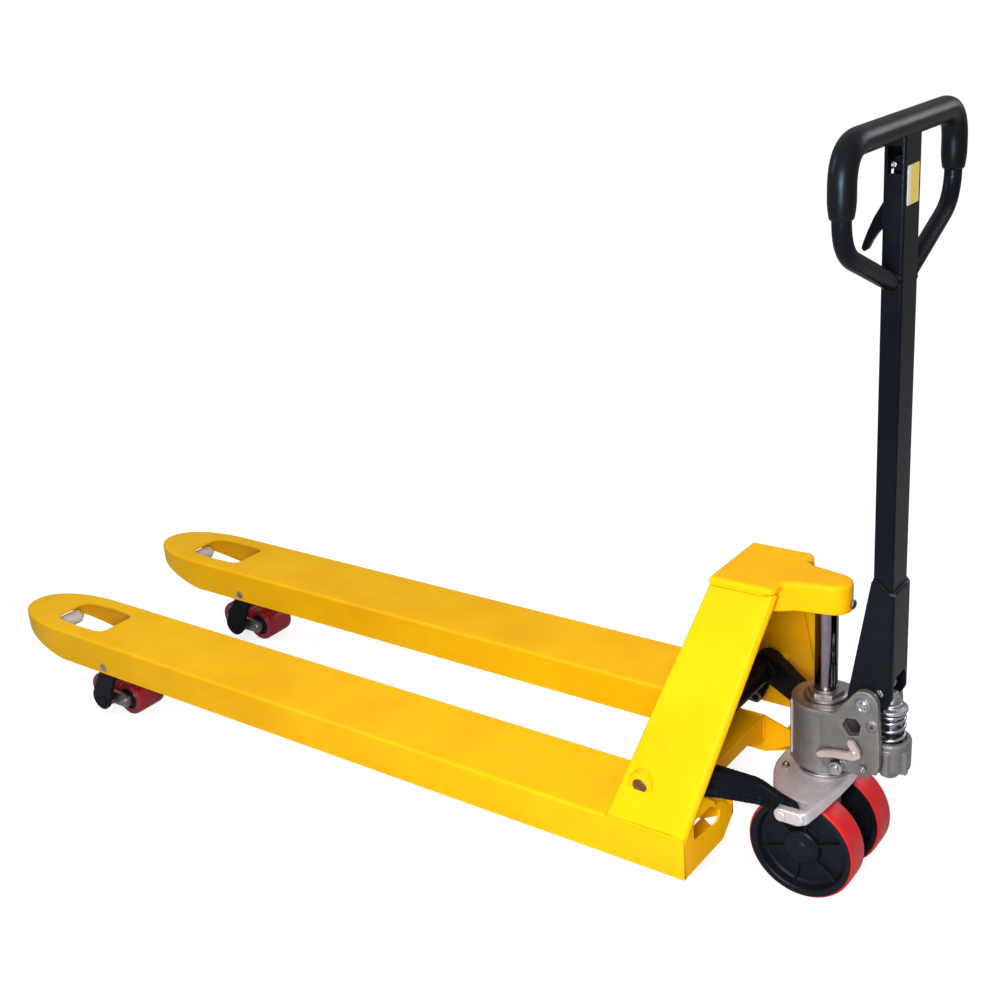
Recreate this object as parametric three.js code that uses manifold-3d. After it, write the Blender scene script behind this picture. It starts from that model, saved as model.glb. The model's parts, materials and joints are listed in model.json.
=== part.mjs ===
// Hand pallet truck with long forks: lifting frame, rocker linkage, hydraulic pump, wheels and handle.
//
// Millimetres, +Z up, +X from the fork tips towards the operator. The forks are raised, the wheels point
// straight ahead and the handle stands upright. Left is -Y, the operator's left when facing the forks.
// Everything is laid out from the axis of the lifting ram (X = 0, Y = 0) and the floor (Z = 0). At the end
// the truck is moved along X so that the origin is the middle of its footprint.
import * as THREE from 'three';
import { mergeVertices } from 'three/addons/utils/BufferGeometryUtils.js';
import Module from 'manifold-3d';

const wasm = await Module();
wasm.setup();

// ---------------------------------------------------------------- driving dimensions
const GAP = 0.3; // between pieces that touch
const RUN = 0.4; // radial clearance of a pivot
const OVER = 1; // how far a cutting tool reaches past the face it cuts
const FAR = 400; // reach of a cutting tool that passes everything on one side
const PLATE = 4; // pressed sheet of the forks
const SIDE_PLATE = 6;
const BACK_PLATE = 5;

const LIFT = 110; // travel of the forks
const FORK_TOP = 190;
const FORK_HEIGHT = 57;
const FORK_SPAN = 550; // over both forks
const FORK_WIDTH = 160;
const FORK_TIP_X = -1787;
const BACKREST_X = -244; // rear face of the frame, where the load stops
const HEEL_X = -105; // front end of the fork channels
const NOSE_LENGTH = 187;

const FRAME_TOP = 524; // top of the side plates
const FRAME_TOP_WIDTH = 149; // over both side plates at their top
const HEAD_TOP = 535;
const HEAD_UNDERSIDE = 487;

const WHEEL_RADIUS = 90;
const WHEEL_WIDTH = 50;
const WHEEL_GAP = 57; // between the two steering wheels
const WHEEL_AXLE_X = -8;

const ROLLER_RADIUS = 37;
const ROLLER_WIDTH = 70;
const ROLLER_SPACING = 82; // between the two axles of a bogie
const BOGIE_X = -1515;
const FRAME_PIVOT = { x: -1472, z: 134.6 }; // roller frame on the fork
const PUSH_PIN_REACH = 31.4; // push-rod pin above the roller-frame pivot
const ENTRY_ROLLER = { x: -1692, z: 154, radius: 15, half: 35, bracket: 39 };

const ROCKER = { x: -196, z: 241.6 }; // rocker shaft
const THRUST_PIN = { x: -8, z: 194 };
const PUSH_LEVER = 65.7; // rocker shaft to push-rod pin

const RAM_RADIUS = 18;
const RAM = { bottom: 250, top: 506 };
const RAM_SCREW = { z: 500, radius: 4, head: 6.5 }; // holds the ram in the head
const RESERVOIR_RADIUS = 53;
const RESERVOIR_TOP = 334;
const PUMP_BOTTOM = 222;
const SPIGOT = { radius: 25.5, bottom: 62 };
const CUP = { radius: 32, bottom: 235, top: 290, seat: 270 };
const SPRING = { radius: 20.3, wire: 2.9, turns: 5 };
const SPRING_CAP = { radius: 25, seat: 24.5, bottom: 337, top: 352 };
const PISTON = { radius: 9, bottom: 257, top: 370.2 };
const THRUST_TOP = 207;
const THRUST_BOTTOM = 184;
const EAR = { x: 82.5, z: 364, radius: 21 }; // handle pivot on the pump
const CAM = { x: 100.4, z: 380, radius: 9 }; // roller that pushes the pump piston
const PISTON_X = 106; // axis of the pump piston

// Radii of the pins and axles.
const PIN = {
  rocker: 12, wheel: 10, axle: 8, handle: 8, thrust: 7, frame: 7, bogie: 7,
  push: 6, entry: 4, cam: 4, trigger: 4,
};
const BORE = 26.2; // ram spigot in the thrust carriage

const COLUMN = { x: 98, depth: 30, width: 58, wall: 3, bottom: 430, top: 1186 };
const LOOP = { halfWidth: 195, barHeight: 1205, tube: 12.5, grip: 18, bend: 1075, foot: 1003, gripEnd: 1118 };
const TRIGGER_PIVOT_Z = 1158;
const PULL_ROD = { x: 107, radius: 2.5 };

// ---------------------------------------------------------------- values worked out from them
const FORK_BOTTOM = FORK_TOP - FORK_HEIGHT;
const FRAME_SEAT = FORK_TOP - 0.5; // the lifting frame stands in a shallow step of the forks
const FORK_CENTRE = (FORK_SPAN - FORK_WIDTH) / 2;
const FORK_HALF = FORK_WIDTH / 2;
const HALF_SPAN = FORK_SPAN / 2;
const FORK_INNER = HALF_SPAN - FORK_WIDTH;
const LEAN = Math.atan2(HALF_SPAN - FRAME_TOP_WIDTH / 2, FRAME_TOP - FORK_TOP);
const BOGIE_Z = ROLLER_RADIUS;
const WHEEL_INNER = WHEEL_GAP / 2;
const WHEEL_OUTER = WHEEL_INNER + WHEEL_WIDTH;
const SWING = Math.atan2(FRAME_PIVOT.z - BOGIE_Z, FRAME_PIVOT.x - BOGIE_X);
const ARM = Math.hypot(FRAME_PIVOT.z - BOGIE_Z, FRAME_PIVOT.x - BOGIE_X);
const LOWERED = Math.asin((LIFT - ARM * Math.sin(SWING)) / ARM);
const HALF_TURN_OF_FRAME = (SWING + LOWERED) / 2;
const PUSH_PIN = {
  x: FRAME_PIVOT.x - PUSH_PIN_REACH * Math.sin(HALF_TURN_OF_FRAME),
  z: FRAME_PIVOT.z + PUSH_PIN_REACH * Math.cos(HALF_TURN_OF_FRAME),
};
const PUSH_STROKE = 2 * PUSH_PIN_REACH * Math.sin(HALF_TURN_OF_FRAME);
const LEVER_TILT = Math.asin(PUSH_STROKE / 2 / PUSH_LEVER);
const LEVER_PIN = {
  x: ROCKER.x - PUSH_LEVER * Math.sin(LEVER_TILT),
  z: ROCKER.z - PUSH_LEVER * Math.cos(LEVER_TILT),
};

// ---------------------------------------------------------------- materials
function finish(color, roughness, metalness) {
  return new THREE.MeshStandardMaterial({ color, roughness, metalness });
}

const MATERIALS = {
  yellow: finish(0xf7bd16, 0.42, 0.05),
  black: finish(0x17181d, 0.45, 0.1),
  rubber: finish(0x1b1c20, 0.7, 0),
  casting: finish(0xa39b92, 0.6, 0.6),
  chrome: finish(0xd8d8dc, 0.1, 1),
  zinc: finish(0xb9bcc0, 0.35, 0.9),
  steel: finish(0x8c8a88, 0.45, 0.9),
  bronze: finish(0x8a5f3c, 0.5, 0.7),
  red: finish(0xd8232c, 0.4, 0),
  darkRed: finish(0xa0182a, 0.4, 0),
  nylon: finish(0xdcdad2, 0.5, 0),
  hub: finish(0x1d1e21, 0.55, 0),
  paper: finish(0xe8d46a, 0.7, 0),
};

// ---------------------------------------------------------------- outlines
// Corners of a regular polygon whose flat sides touch the circle, with one flat side facing down.
function round(radius, sides = 16, centre = [0, 0]) {
  const corner = radius / Math.cos(Math.PI / sides);
  const points = [];
  for (let i = 0; i < sides; i += 1) {
    const angle = -Math.PI / 2 + ((i + 0.5) * 2 * Math.PI) / sides;
    points.push([centre[0] + corner * Math.cos(angle), centre[1] + corner * Math.sin(angle)]);
  }
  return points;
}

const rectangle = (u0, u1, v0, v1) => [[u0, v0], [u1, v0], [u1, v1], [u0, v1]];

// Arc points round a centre, from one angle to another in degrees.
function arc(centre, radius, fromDeg, toDeg, steps = 6) {
  const points = [];
  for (let i = 0; i <= steps; i += 1) {
    const angle = THREE.MathUtils.degToRad(fromDeg + ((toDeg - fromDeg) * i) / steps);
    points.push([centre[0] + radius * Math.cos(angle), centre[1] + radius * Math.sin(angle)]);
  }
  return points;
}

// Outline of a link: two round ends joined by straight sides.
function link(a, radiusA, b, radiusB, steps = 6) {
  const along = THREE.MathUtils.radToDeg(Math.atan2(b[1] - a[1], b[0] - a[0]));
  const first = arc(a, radiusA, along + 90, along + 270, steps);
  const second = arc(b, radiusB, along - 90, along + 90, steps);
  return [...first, ...second];
}

// Half an outline and its mirror image: across the first axis (0) or the second (1).
function symmetric(half, axis) {
  const other = half.filter((point) => point[axis] !== 0).reverse();
  return [...half, ...other.map(([u, v]) => (axis === 0 ? [-u, v] : [u, -v]))];
}

// ---------------------------------------------------------------- solids
// The turn that takes X, Y and Z to three other directions.
function frameOf(alongX, alongY, alongZ) {
  const axes = [alongX, alongY, alongZ].map((axis) => new THREE.Vector3(...axis));
  return new THREE.Matrix4().makeBasis(...axes);
}

const BASES = {
  x: frameOf([0, 1, 0], [0, 0, 1], [1, 0, 0]),
  y: frameOf([1, 0, 0], [0, 0, 1], [0, -1, 0]),
  z: new THREE.Matrix4(),
};

// A three.js geometry as a manifold solid.
function solid(geometry) {
  const bare = geometry.clone();
  bare.deleteAttribute('normal');
  bare.deleteAttribute('uv');
  const merged = mergeVertices(bare, 1e-4);
  return new wasm.Manifold(new wasm.Mesh({
    numProp: 3,
    vertProperties: Float32Array.from(merged.attributes.position.array),
    triVerts: Uint32Array.from(merged.index.array),
  }));
}

// An outline in the two axes across `axis`, in X, Y, Z order, pushed along it between two places.
function prism(axis, outline, from, to, holes = []) {
  const shape = new THREE.Shape(outline.map(([u, v]) => new THREE.Vector2(u, v)));
  holes.forEach((hole) => shape.holes.push(new THREE.Path(hole.map(([u, v]) => new THREE.Vector2(u, v)))));
  const geometry = new THREE.ExtrudeGeometry(shape, { depth: to - from, bevelEnabled: false });
  geometry.applyMatrix4(BASES[axis]);
  const start = { x: [from, 0, 0], y: [0, to, 0], z: [0, 0, from] }[axis];
  geometry.translate(...start);
  return solid(geometry);
}

const bar = (axis, radius, from, to, centre, sides) => prism(axis, round(radius, sides, centre), from, to);
// A bar along Y that is centred on the middle of the left fork, and a plate beside that line.
function forkBar(radius, half, centre, sides) {
  return bar('y', radius, -FORK_CENTRE - half, -FORK_CENTRE + half, centre, sides);
}

function forkPlate(outline, aside, half) {
  return prism('y', outline, -FORK_CENTRE + aside - half, -FORK_CENTRE + aside + half);
}

const block = (x, y, z) => prism('z', rectangle(x[0], x[1], y[0], y[1]), z[0], z[1]);
const join = (first, ...others) => others.reduce((sum, next) => sum.add(next), first);
const cut = (first, ...tools) => tools.reduce((rest, tool) => rest.subtract(tool), first);

// A manifold solid as a three.js geometry; mirrored left to right when asked.
function geometryOf(body, mirrored = false) {
  const mesh = body.getMesh();
  const geometry = new THREE.BufferGeometry();
  const position = Float32Array.from(mesh.vertProperties);
  const index = Array.from(mesh.triVerts);
  if (mirrored) {
    for (let i = 1; i < position.length; i += 3) {
      position[i] = -position[i];
    }
    for (let i = 0; i < index.length; i += 3) {
      [index[i], index[i + 1]] = [index[i + 1], index[i]];
    }
  }
  geometry.setAttribute('position', new THREE.BufferAttribute(position, 3));
  geometry.setIndex(index);
  return geometry;
}

// The same triangles facing the other way.
function flipped(geometry) {
  const other = geometry.clone();
  const index = Array.from(other.index.array);
  for (let i = 0; i < index.length; i += 3) {
    [index[i], index[i + 1]] = [index[i + 1], index[i]];
  }
  other.setIndex(index);
  return other;
}

// A ring or turned piece about Y: profile points are [radius, y] and close on themselves.
function turned(profile, sides) {
  const corner = 1 / Math.cos(Math.PI / sides);
  const closed = [...profile, profile[0]].map(([radius, y]) => new THREE.Vector2(radius * corner, y));
  const geometry = new THREE.LatheGeometry(closed, sides, Math.PI / sides);
  const body = solid(geometry);
  return body.volume() < 0 ? solid(flipped(geometry)) : body;
}

const truck = new THREE.Group();

function add(parent, name, body, material, mirrored = false) {
  const mesh = new THREE.Mesh(geometryOf(body, mirrored), material.clone());
  mesh.name = name;
  parent.add(mesh);
  return mesh;
}

// Adds a piece built on the left and its mirror image on the right.
function addPair(name, body, material) {
  add(truck, `${name}_left`, body, material);
  add(truck, `${name}_right`, body, material, true);
}

// ---------------------------------------------------------------- forks
// Half width of the fork at X: straight, then a superellipse round the nose.
function noseOutline(inset) {
  const half = FORK_HALF - inset;
  const length = NOSE_LENGTH - inset;
  const start = FORK_TIP_X + NOSE_LENGTH;
  const power = 2 / 2.2;
  const points = [];
  const steps = 16;
  for (let i = 0; i <= steps; i += 1) {
    const angle = (Math.PI * i) / steps - Math.PI / 2;
    const along = Math.abs(Math.cos(angle)) ** power;
    const across = Math.sign(Math.sin(angle)) * Math.abs(Math.sin(angle)) ** power;
    points.push([start - length * along, -FORK_CENTRE + half * across]);
  }
  return points;
}

function forkOutline(inset, frontX) {
  const half = FORK_HALF - inset;
  return [...noseOutline(inset), [frontX, -FORK_CENTRE + half], [frontX, -FORK_CENTRE - half]];
}

// Opening over the load rollers: straight ends and bowed sides, about the fork's centre line.
const WINDOW_HALF = [
  [-1666, 30], [-1658, 38], [-1640, 44], [-1590, 47], [-1535, 45], [-1518, 42], [-1510, 34],
];
const windowOutline = [
  ...WINDOW_HALF.map(([x, half]) => [x, -FORK_CENTRE - half]),
  ...WINDOW_HALF.map(([x, half]) => [x, -FORK_CENTRE + half]).reverse(),
];

// Heel plate that closes the channel's front end: outer corner, floor, inner corner, then the stepped top
// edge that lets the rocker arm pass.
const HEEL_INNER = FORK_INNER + 2;
const heelOutline = [
  [-HALF_SPAN, FORK_BOTTOM], [-150, FORK_BOTTOM], [-HEEL_INNER, 148], [-HEEL_INNER, 164],
  [-131, 171], [-146, 188], [-168, 191], [-178, 206], [-208, 230], [-238, 248], [-HALF_SPAN, FORK_TOP],
];
const heelOpening = [
  [-242, 176], [-236, 168], [-170, 160], [-160, 166], [-158, 180], [-188, 202], [-236, 206], [-243, 200],
];
// The inner web falls away towards the heel, from here to these two heights.
const WEB = { from: -165, corner: -160, top: 172, bottom: 147 };
const GUSSET_TOP = 236; // where the heel plate meets the side plate
const LUG_RADIUS = 15;
const NOSE_CUT = { x: -1655, rise: 34 }; // the nose is shallower towards its tip
const FORK_SIDES = [-HALF_SPAN - OVER, -100]; // a cutting range across the left fork

function innerFaceOfSidePlate(z, clearance) {
  return -HALF_SPAN + (z - FORK_TOP) * Math.tan(LEAN) + SIDE_PLATE / Math.cos(LEAN) + clearance;
}

function buildFork() {
  const under = FORK_BOTTOM - OVER;
  const over = FORK_TOP + OVER;
  const innerFace = -FORK_INNER - PLATE;
  const plateX = HEEL_X - PLATE;
  const past = HEEL_X + OVER;
  const outer = prism('z', forkOutline(0, HEEL_X), FORK_BOTTOM, FORK_TOP);
  const hollow = prism('z', forkOutline(PLATE, plateX), under, FORK_TOP - PLATE);
  const heelTop = block([BACKREST_X + PLATE, plateX], [-HALF_SPAN + PLATE, innerFace], [FORK_TOP - 9, over]);
  const step = block([BACKREST_X - 2, past], [-HALF_SPAN - OVER, -FORK_INNER + OVER], [FRAME_SEAT, over]);
  const window = prism('z', windowOutline, FORK_TOP - PLATE - OVER, over);
  const noseTip = FORK_TIP_X - 3;
  const noseFall = [[NOSE_CUT.x, under], [noseTip, FORK_BOTTOM + NOSE_CUT.rise], [noseTip, under]];
  const underNose = prism('y', noseFall, ...FORK_SIDES);
  const webFall = [
    [WEB.from, over], [WEB.from, FORK_TOP], [plateX, WEB.top], [past, WEB.top - 2], [past, over],
  ];
  const webTop = prism('y', webFall, innerFace - OVER, FORK_SIDES[1]);
  const plateTop = block([plateX, past], [-HALF_SPAN + PLATE, FORK_SIDES[1]], [under, over]);
  const plateOutline = [
    [-HALF_SPAN + PLATE, FORK_BOTTOM], ...heelOutline.slice(1, -2),
    [innerFaceOfSidePlate(GUSSET_TOP, GAP), GUSSET_TOP],
    [innerFaceOfSidePlate(FRAME_SEAT, GAP), FRAME_SEAT],
    [-HALF_SPAN + PLATE, FRAME_SEAT],
  ];
  const inside = prism('x', plateOutline, plateX, HEEL_X, [heelOpening]);
  const cornerFall = [[WEB.corner, under], [plateX, WEB.bottom], [past, WEB.bottom], [past, under]];
  const webCorner = prism('y', cornerFall, innerFace - OVER, FORK_SIDES[1]);
  const pivot = [FRAME_PIVOT.x, FRAME_PIVOT.z];
  const lug = round(LUG_RADIUS, 16, pivot);
  const outerLug = prism('y', lug, -HALF_SPAN, -HALF_SPAN + PLATE);
  const innerLug = prism('y', lug, innerFace, -FORK_INNER);
  const pinHole = bar('y', PIN.frame + GAP, ...FORK_SIDES, pivot);
  const entryCentre = [ENTRY_ROLLER.x, ENTRY_ROLLER.z];
  const bracket = [[-9, 0], [-9, 37], [9, 37], [9, 0], [6, -7], [-6, -7]].map(([x, z]) => [
    entryCentre[0] + x, entryCentre[1] + z,
  ]);
  const brackets = [-1, 1].map((side) => forkPlate(bracket, side * ENTRY_ROLLER.bracket, 2));
  const entryHole = forkBar(PIN.entry + RUN, ENTRY_ROLLER.bracket + 6, entryCentre, 12);
  const channel = cut(outer, hollow, heelTop, step, window, underNose, webTop, plateTop, webCorner);
  return cut(join(channel, inside, outerLug, innerLug, ...brackets), pinHole, entryHole);
}

function buildEntryRoller() {
  const centre = [ENTRY_ROLLER.x, ENTRY_ROLLER.z];
  const body = forkBar(ENTRY_ROLLER.radius, ENTRY_ROLLER.half, centre);
  const journals = forkBar(PIN.entry, ENTRY_ROLLER.bracket + 2, centre, 12);
  return join(body, journals);
}

function buildRollerFramePin() {
  const proud = 1.5;
  return forkBar(PIN.frame, FORK_HALF + proud, [FRAME_PIVOT.x, FRAME_PIVOT.z]);
}

addPair('fork', buildFork(), MATERIALS.yellow);
addPair('entry_roller', buildEntryRoller(), MATERIALS.nylon);
addPair('roller_frame_pin', buildRollerFramePin(), MATERIALS.zinc);

// ---------------------------------------------------------------- lifting frame
// The left side plate leans in over the fork: its outline is drawn on the slope and stood up.
function buildSidePlate() {
  const slope = (FRAME_TOP - FORK_TOP) / Math.cos(LEAN) + PLATE;
  const outline = [[BACKREST_X + 0.4, -2], [HEEL_X, -2], [HEEL_X + 3, 20], [-50, slope], [-161, slope]];
  const shape = new THREE.Shape(outline.map(([x, s]) => new THREE.Vector2(x, s)));
  const geometry = new THREE.ExtrudeGeometry(shape, { depth: SIDE_PLATE, bevelEnabled: false });
  const up = new THREE.Vector3(0, Math.sin(LEAN), Math.cos(LEAN));
  const out = new THREE.Vector3(0, -Math.cos(LEAN), Math.sin(LEAN));
  geometry.translate(0, 0, -SIDE_PLATE);
  geometry.applyMatrix4(new THREE.Matrix4().makeBasis(new THREE.Vector3(1, 0, 0), up, out));
  geometry.translate(0, -HALF_SPAN, FORK_TOP);
  const below = block([-FAR, 0], [-FAR, 0], [0, FRAME_SEAT + GAP]);
  const above = block([-FAR, 0], [-FAR, 0], [FRAME_TOP, FRAME_TOP + FAR]);
  const shaftCentre = [ROCKER.x, ROCKER.z];
  const collar = bar('y', 21, -250, -218, shaftCentre);
  const hole = bar('y', PIN.rocker + GAP, -FAR, -200, shaftCentre);
  return cut(join(cut(solid(geometry), below, above), collar), hole);
}

// The back plate leans towards the ram as it rises and fits between the side plates.
function buildBackPlate() {
  const bottom = FORK_TOP - 3;
  const top = FRAME_TOP + 3;
  const run = 83;
  const rise = top - bottom;
  const length = Math.hypot(rise, run);
  const halfAt = (z) => -innerFaceOfSidePlate(z, GAP);
  const outline = [[-halfAt(bottom), 0], [halfAt(bottom), 0], [halfAt(top), length], [-halfAt(top), length]];
  const shape = new THREE.Shape(outline.map(([y, s]) => new THREE.Vector2(y, s)));
  const geometry = new THREE.ExtrudeGeometry(shape, { depth: BACK_PLATE, bevelEnabled: false });
  const up = new THREE.Vector3(run / length, 0, rise / length);
  const inward = new THREE.Vector3(rise / length, 0, -run / length);
  geometry.applyMatrix4(new THREE.Matrix4().makeBasis(new THREE.Vector3(0, 1, 0), up, inward));
  geometry.translate(BACKREST_X, 0, bottom);
  const below = block([-FAR, 0], [-FAR, FAR], [0, FORK_TOP + GAP]);
  const above = block([-FAR, 0], [-FAR, FAR], [FRAME_TOP, FRAME_TOP + FAR]);
  return cut(solid(geometry), below, above);
}

// Folded cross member between the forks; its front face is arched up in the middle.
function buildCrossMember() {
  const half = FORK_INNER - GAP;
  const front = WEB.from;
  const rear = BACKREST_X + 2;
  const seam = FORK_TOP - OVER;
  const arch = symmetric([[half, seam], [half, 138], [96, 141], [80, 152], [62, 162]], 0);
  const top = block([rear, front], [-half, half], [FORK_TOP - PLATE, FORK_TOP]);
  const frontFace = prism('x', arch, front - PLATE, front);
  const rearFace = block([rear, rear + PLATE], [-half, half], [158, seam]);
  return join(top, frontFace, rearFace);
}

// Head casting: a cap over the side plates and a hollow nose that takes the ram.
function buildHead() {
  const capBottom = FRAME_TOP + GAP;
  const halfCap = [[77, capBottom], [74, 529], [66, 533.5], [55, HEAD_TOP]];
  const cap = prism('x', symmetric(halfCap, 0), -163, -52);
  const halfNose = [...arc([12, 0], 28, 0, 75, 3), [-36, 37], [-60, 52], [-78, 60], [-150, 60]];
  const nose = prism('z', symmetric(halfNose, 1), HEAD_UNDERSIDE, HEAD_TOP);
  const rearFall = [[-170, 400], [-170, 540], [-147, 522], [-118, 486], [-90, 486], [-90, 400]];
  const rearCut = prism('y', rearFall, -100, 100);
  const halfPocket = [[-26, 27], [-36, 29], [-56, 43], [-80, 52], [-140, 52]];
  const pocket = prism('z', symmetric(halfPocket, 1), HEAD_UNDERSIDE - OVER, HEAD_TOP - 8);
  const ramSeat = bar('z', RAM_RADIUS + GAP, HEAD_UNDERSIDE - OVER, RAM.top + 1, [0, 0], 20);
  const screwHole = bar('x', RAM_SCREW.radius + GAP, 20, 60, [0, RAM_SCREW.z], 12);
  return cut(join(cap, cut(nose, rearCut)), pocket, ramSeat, screwHole);
}

function buildRamScrew() {
  const centre = [0, RAM_SCREW.z];
  const headFace = 40.6;
  const shank = bar('x', RAM_SCREW.radius, 20.5, headFace + OVER, centre, 12);
  return join(shank, bar('x', RAM_SCREW.head, headFace, 45, centre, 6));
}

addPair('side_plate', buildSidePlate(), MATERIALS.yellow);
add(truck, 'back_plate', buildBackPlate(), MATERIALS.yellow);
add(truck, 'cross_member', buildCrossMember(), MATERIALS.yellow);
add(truck, 'head_plate', buildHead(), MATERIALS.yellow);
add(truck, 'ram', bar('z', RAM_RADIUS, RAM.bottom, RAM.top, [0, 0], 20), MATERIALS.chrome);
add(truck, 'ram_screw', buildRamScrew(), MATERIALS.zinc);
add(truck, 'rocker_shaft', bar('y', PIN.rocker, -248, 248, [ROCKER.x, ROCKER.z]), MATERIALS.bronze);

// ---------------------------------------------------------------- rocker linkage
// The left arm runs from its hub inwards to the thrust pin: it is the overlap of a plan and a side outline.
function buildRockerArm() {
  const plan = [
    [-222, -209], [-185, -209], [-50, -132], [15, -132], [15, -118], [-52, -118], [-192, -181], [-222, -181],
  ];
  const side = [
    ...arc([ROCKER.x, ROCKER.z], 27, 75, 285, 7), [-150, 204], [-105, 196.5], [-50, 185],
    ...arc([THRUST_PIN.x + 3, THRUST_PIN.z], 19, -120, 75), [-20, 219], [-64, 241], [-109, 256], [-150, 266],
  ];
  const slotEnds = [-1, 1].map((end) => [THRUST_PIN.x + end * 6, THRUST_PIN.z]);
  const slot = prism('y', link(slotEnds[0], 10.5, slotEnds[1], 10.5), -140, -100);
  return cut(prism('z', plan, 150, 300).intersect(prism('y', side, -215, -110)), slot);
}

function buildRocker() {
  const centre = [ROCKER.x, ROCKER.z];
  const pinCentre = [LEVER_PIN.x, LEVER_PIN.z];
  const tube = bar('y', 20, -214, 214, centre);
  const lever = forkPlate(link(centre, 20, pinCentre, 11), 0, 6);
  const pin = forkBar(PIN.push, 13, pinCentre, 16);
  const left = join(buildRockerArm(), lever, pin);
  const right = solid(geometryOf(left, true));
  const bore = bar('y', PIN.rocker + RUN, -FAR, FAR, centre);
  return cut(join(tube, left, right), bore);
}

// Push rod inside the fork: a clevis over the rocker lever and a slotted eye round the roller-frame pin.
function buildPushRod() {
  const rear = [LEVER_PIN.x, LEVER_PIN.z];
  const front = [PUSH_PIN.x, PUSH_PIN.z];
  const half = 7;
  const clevisOutline = link(rear, 10.5, [rear[0] - 34, rear[1] - 0.5], 6);
  const clevis = [-9.5, 9.5].map((aside) => forkPlate(clevisOutline, aside, 3));
  const bridge = forkPlate(rectangle(rear[0] - 46, rear[0] - 20, rear[1] - 6, rear[1] + 5), 0, 12.5);
  const rod = forkPlate([
    [front[0] + 8, front[1] - 6], [rear[0] - 40, rear[1] - 6], [rear[0] - 40, rear[1] + 5.5],
    [front[0] + 8, front[1] + 6],
  ], 0, half);
  const slotTop = [front[0], front[1] + 9.5];
  const eye = forkPlate(link(front, 11, slotTop, 11), 0, half);
  const slot = forkPlate(link(front, PIN.push + 1, slotTop, PIN.push + 1), 0, half + OVER);
  const pinHole = forkBar(PIN.push + RUN, 20, rear, 16);
  return cut(join(rod, bridge, eye, ...clevis), pinHole, slot);
}

// Roller frame: two cheeks from the fork pivot to the bogie, a web by the pivot and a pin for the push rod.
function buildRollerFrame() {
  const pivot = [FRAME_PIVOT.x, FRAME_PIVOT.z];
  const bogie = [BOGIE_X, BOGIE_Z];
  const top = [PUSH_PIN.x, PUSH_PIN.z];
  const cheekAside = 62;
  const cheekHalf = 4;
  const lobe = [bogie[0] - 10, bogie[1] + 2];
  const cheeks = [-cheekAside, cheekAside].flatMap((aside) => [
    forkPlate(link(pivot, 18, lobe, 25), aside, cheekHalf),
    forkPlate(link(top, 10, pivot, 16), aside, cheekHalf),
  ]);
  const webCentre = [pivot[0] - 12 * Math.cos(SWING), pivot[1] - 12 * Math.sin(SWING)];
  const web = forkBar(12, cheekAside, webCentre);
  const pushPin = forkBar(PIN.push, cheekAside, top, 16);
  const stubs = [-1, 1].map((side) => forkPlate(round(PIN.bogie, 16, bogie), side * 52, 14));
  const bore = forkBar(PIN.frame + RUN, FORK_HALF, pivot);
  return cut(join(...cheeks, web, pushPin, ...stubs), bore);
}

// Bogie: two link plates on the ends of the two roller axles.
function buildBogie() {
  const axlesAt = [-1, 1].map((end) => [BOGIE_X + (end * ROLLER_SPACING) / 2, BOGIE_Z]);
  const plates = [-42, 42].map((aside) => forkPlate(link(axlesAt[0], 15, axlesAt[1], 15), aside, 4));
  const bore = forkBar(PIN.bogie + RUN, FORK_HALF, [BOGIE_X, BOGIE_Z]);
  const axles = axlesAt.map((centre) => forkBar(PIN.axle, 49, centre));
  return join(...plates.map((plate) => cut(plate, bore)), ...axles);
}

// The two load rollers of one fork: a core with its bore and a tyre bonded round it.
function addRollers(side, sign) {
  const half = ROLLER_WIDTH / 2;
  const edge = 4;
  const bore = PIN.axle + RUN;
  const bond = 24;
  const core = turned([[bore, 2 - half], [bond, 2 - half], [bond, half - 2], [bore, half - 2]], 18);
  const halfTyre = [[bond + GAP, half], [ROLLER_RADIUS - edge, half], [ROLLER_RADIUS, half - edge]];
  const tyre = turned(symmetric(halfTyre, 1), 18);
  [['rear', -1], ['front', 1]].forEach(([place, along]) => {
    const roller = new THREE.Group();
    roller.position.set(BOGIE_X + (along * ROLLER_SPACING) / 2, sign * FORK_CENTRE, BOGIE_Z);
    add(roller, `load_roller_core_${side}_${place}`, core, MATERIALS.hub);
    add(roller, `load_roller_tyre_${side}_${place}`, tyre, MATERIALS.darkRed);
    truck.add(roller);
  });
}

add(truck, 'rocker', buildRocker(), MATERIALS.black);
addPair('push_rod', buildPushRod(), MATERIALS.steel);
addPair('roller_frame', buildRollerFrame(), MATERIALS.black);
addPair('bogie', buildBogie(), MATERIALS.steel);
addRollers('left', -1);
addRollers('right', 1);

// ---------------------------------------------------------------- thrust carriage
// Flat carriage on the pump's spigot; its arms are forked round the ends of the rocker arms.
function buildThrustPlate() {
  const half = [
    [-74, 0], [-72, -28], [-63, -58], [-45, -94], [-34, -115], [21.5, -115], [21.5, -133.5], [-20, -133.5],
    [-20, -148], [27, -148], [35, -139], [41, -90], [45, -40], [47, 0],
  ];
  const plate = prism('z', symmetric(half, 1), THRUST_BOTTOM, THRUST_TOP);
  const bore = bar('z', BORE, THRUST_BOTTOM - OVER, THRUST_TOP + OVER, [0, 0], 24);
  const pinHole = prism('y', round(PIN.thrust + GAP, 16, [THRUST_PIN.x, THRUST_PIN.z]), -150, -104);
  return cut(plate, bore, pinHole, solid(geometryOf(pinHole, true)));
}

const thrustPin = bar('y', PIN.thrust, -149.5, -104.5, [THRUST_PIN.x, THRUST_PIN.z], 16);
add(truck, 'thrust_plate', buildThrustPlate(), MATERIALS.casting);
addPair('thrust_pin', thrustPin, MATERIALS.zinc);
const thrustBearing = prism('z', round(43, 24), THRUST_TOP + GAP, PUMP_BOTTOM - GAP, [round(BORE, 24)]);
add(truck, 'thrust_bearing', thrustBearing, MATERIALS.steel);

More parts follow.
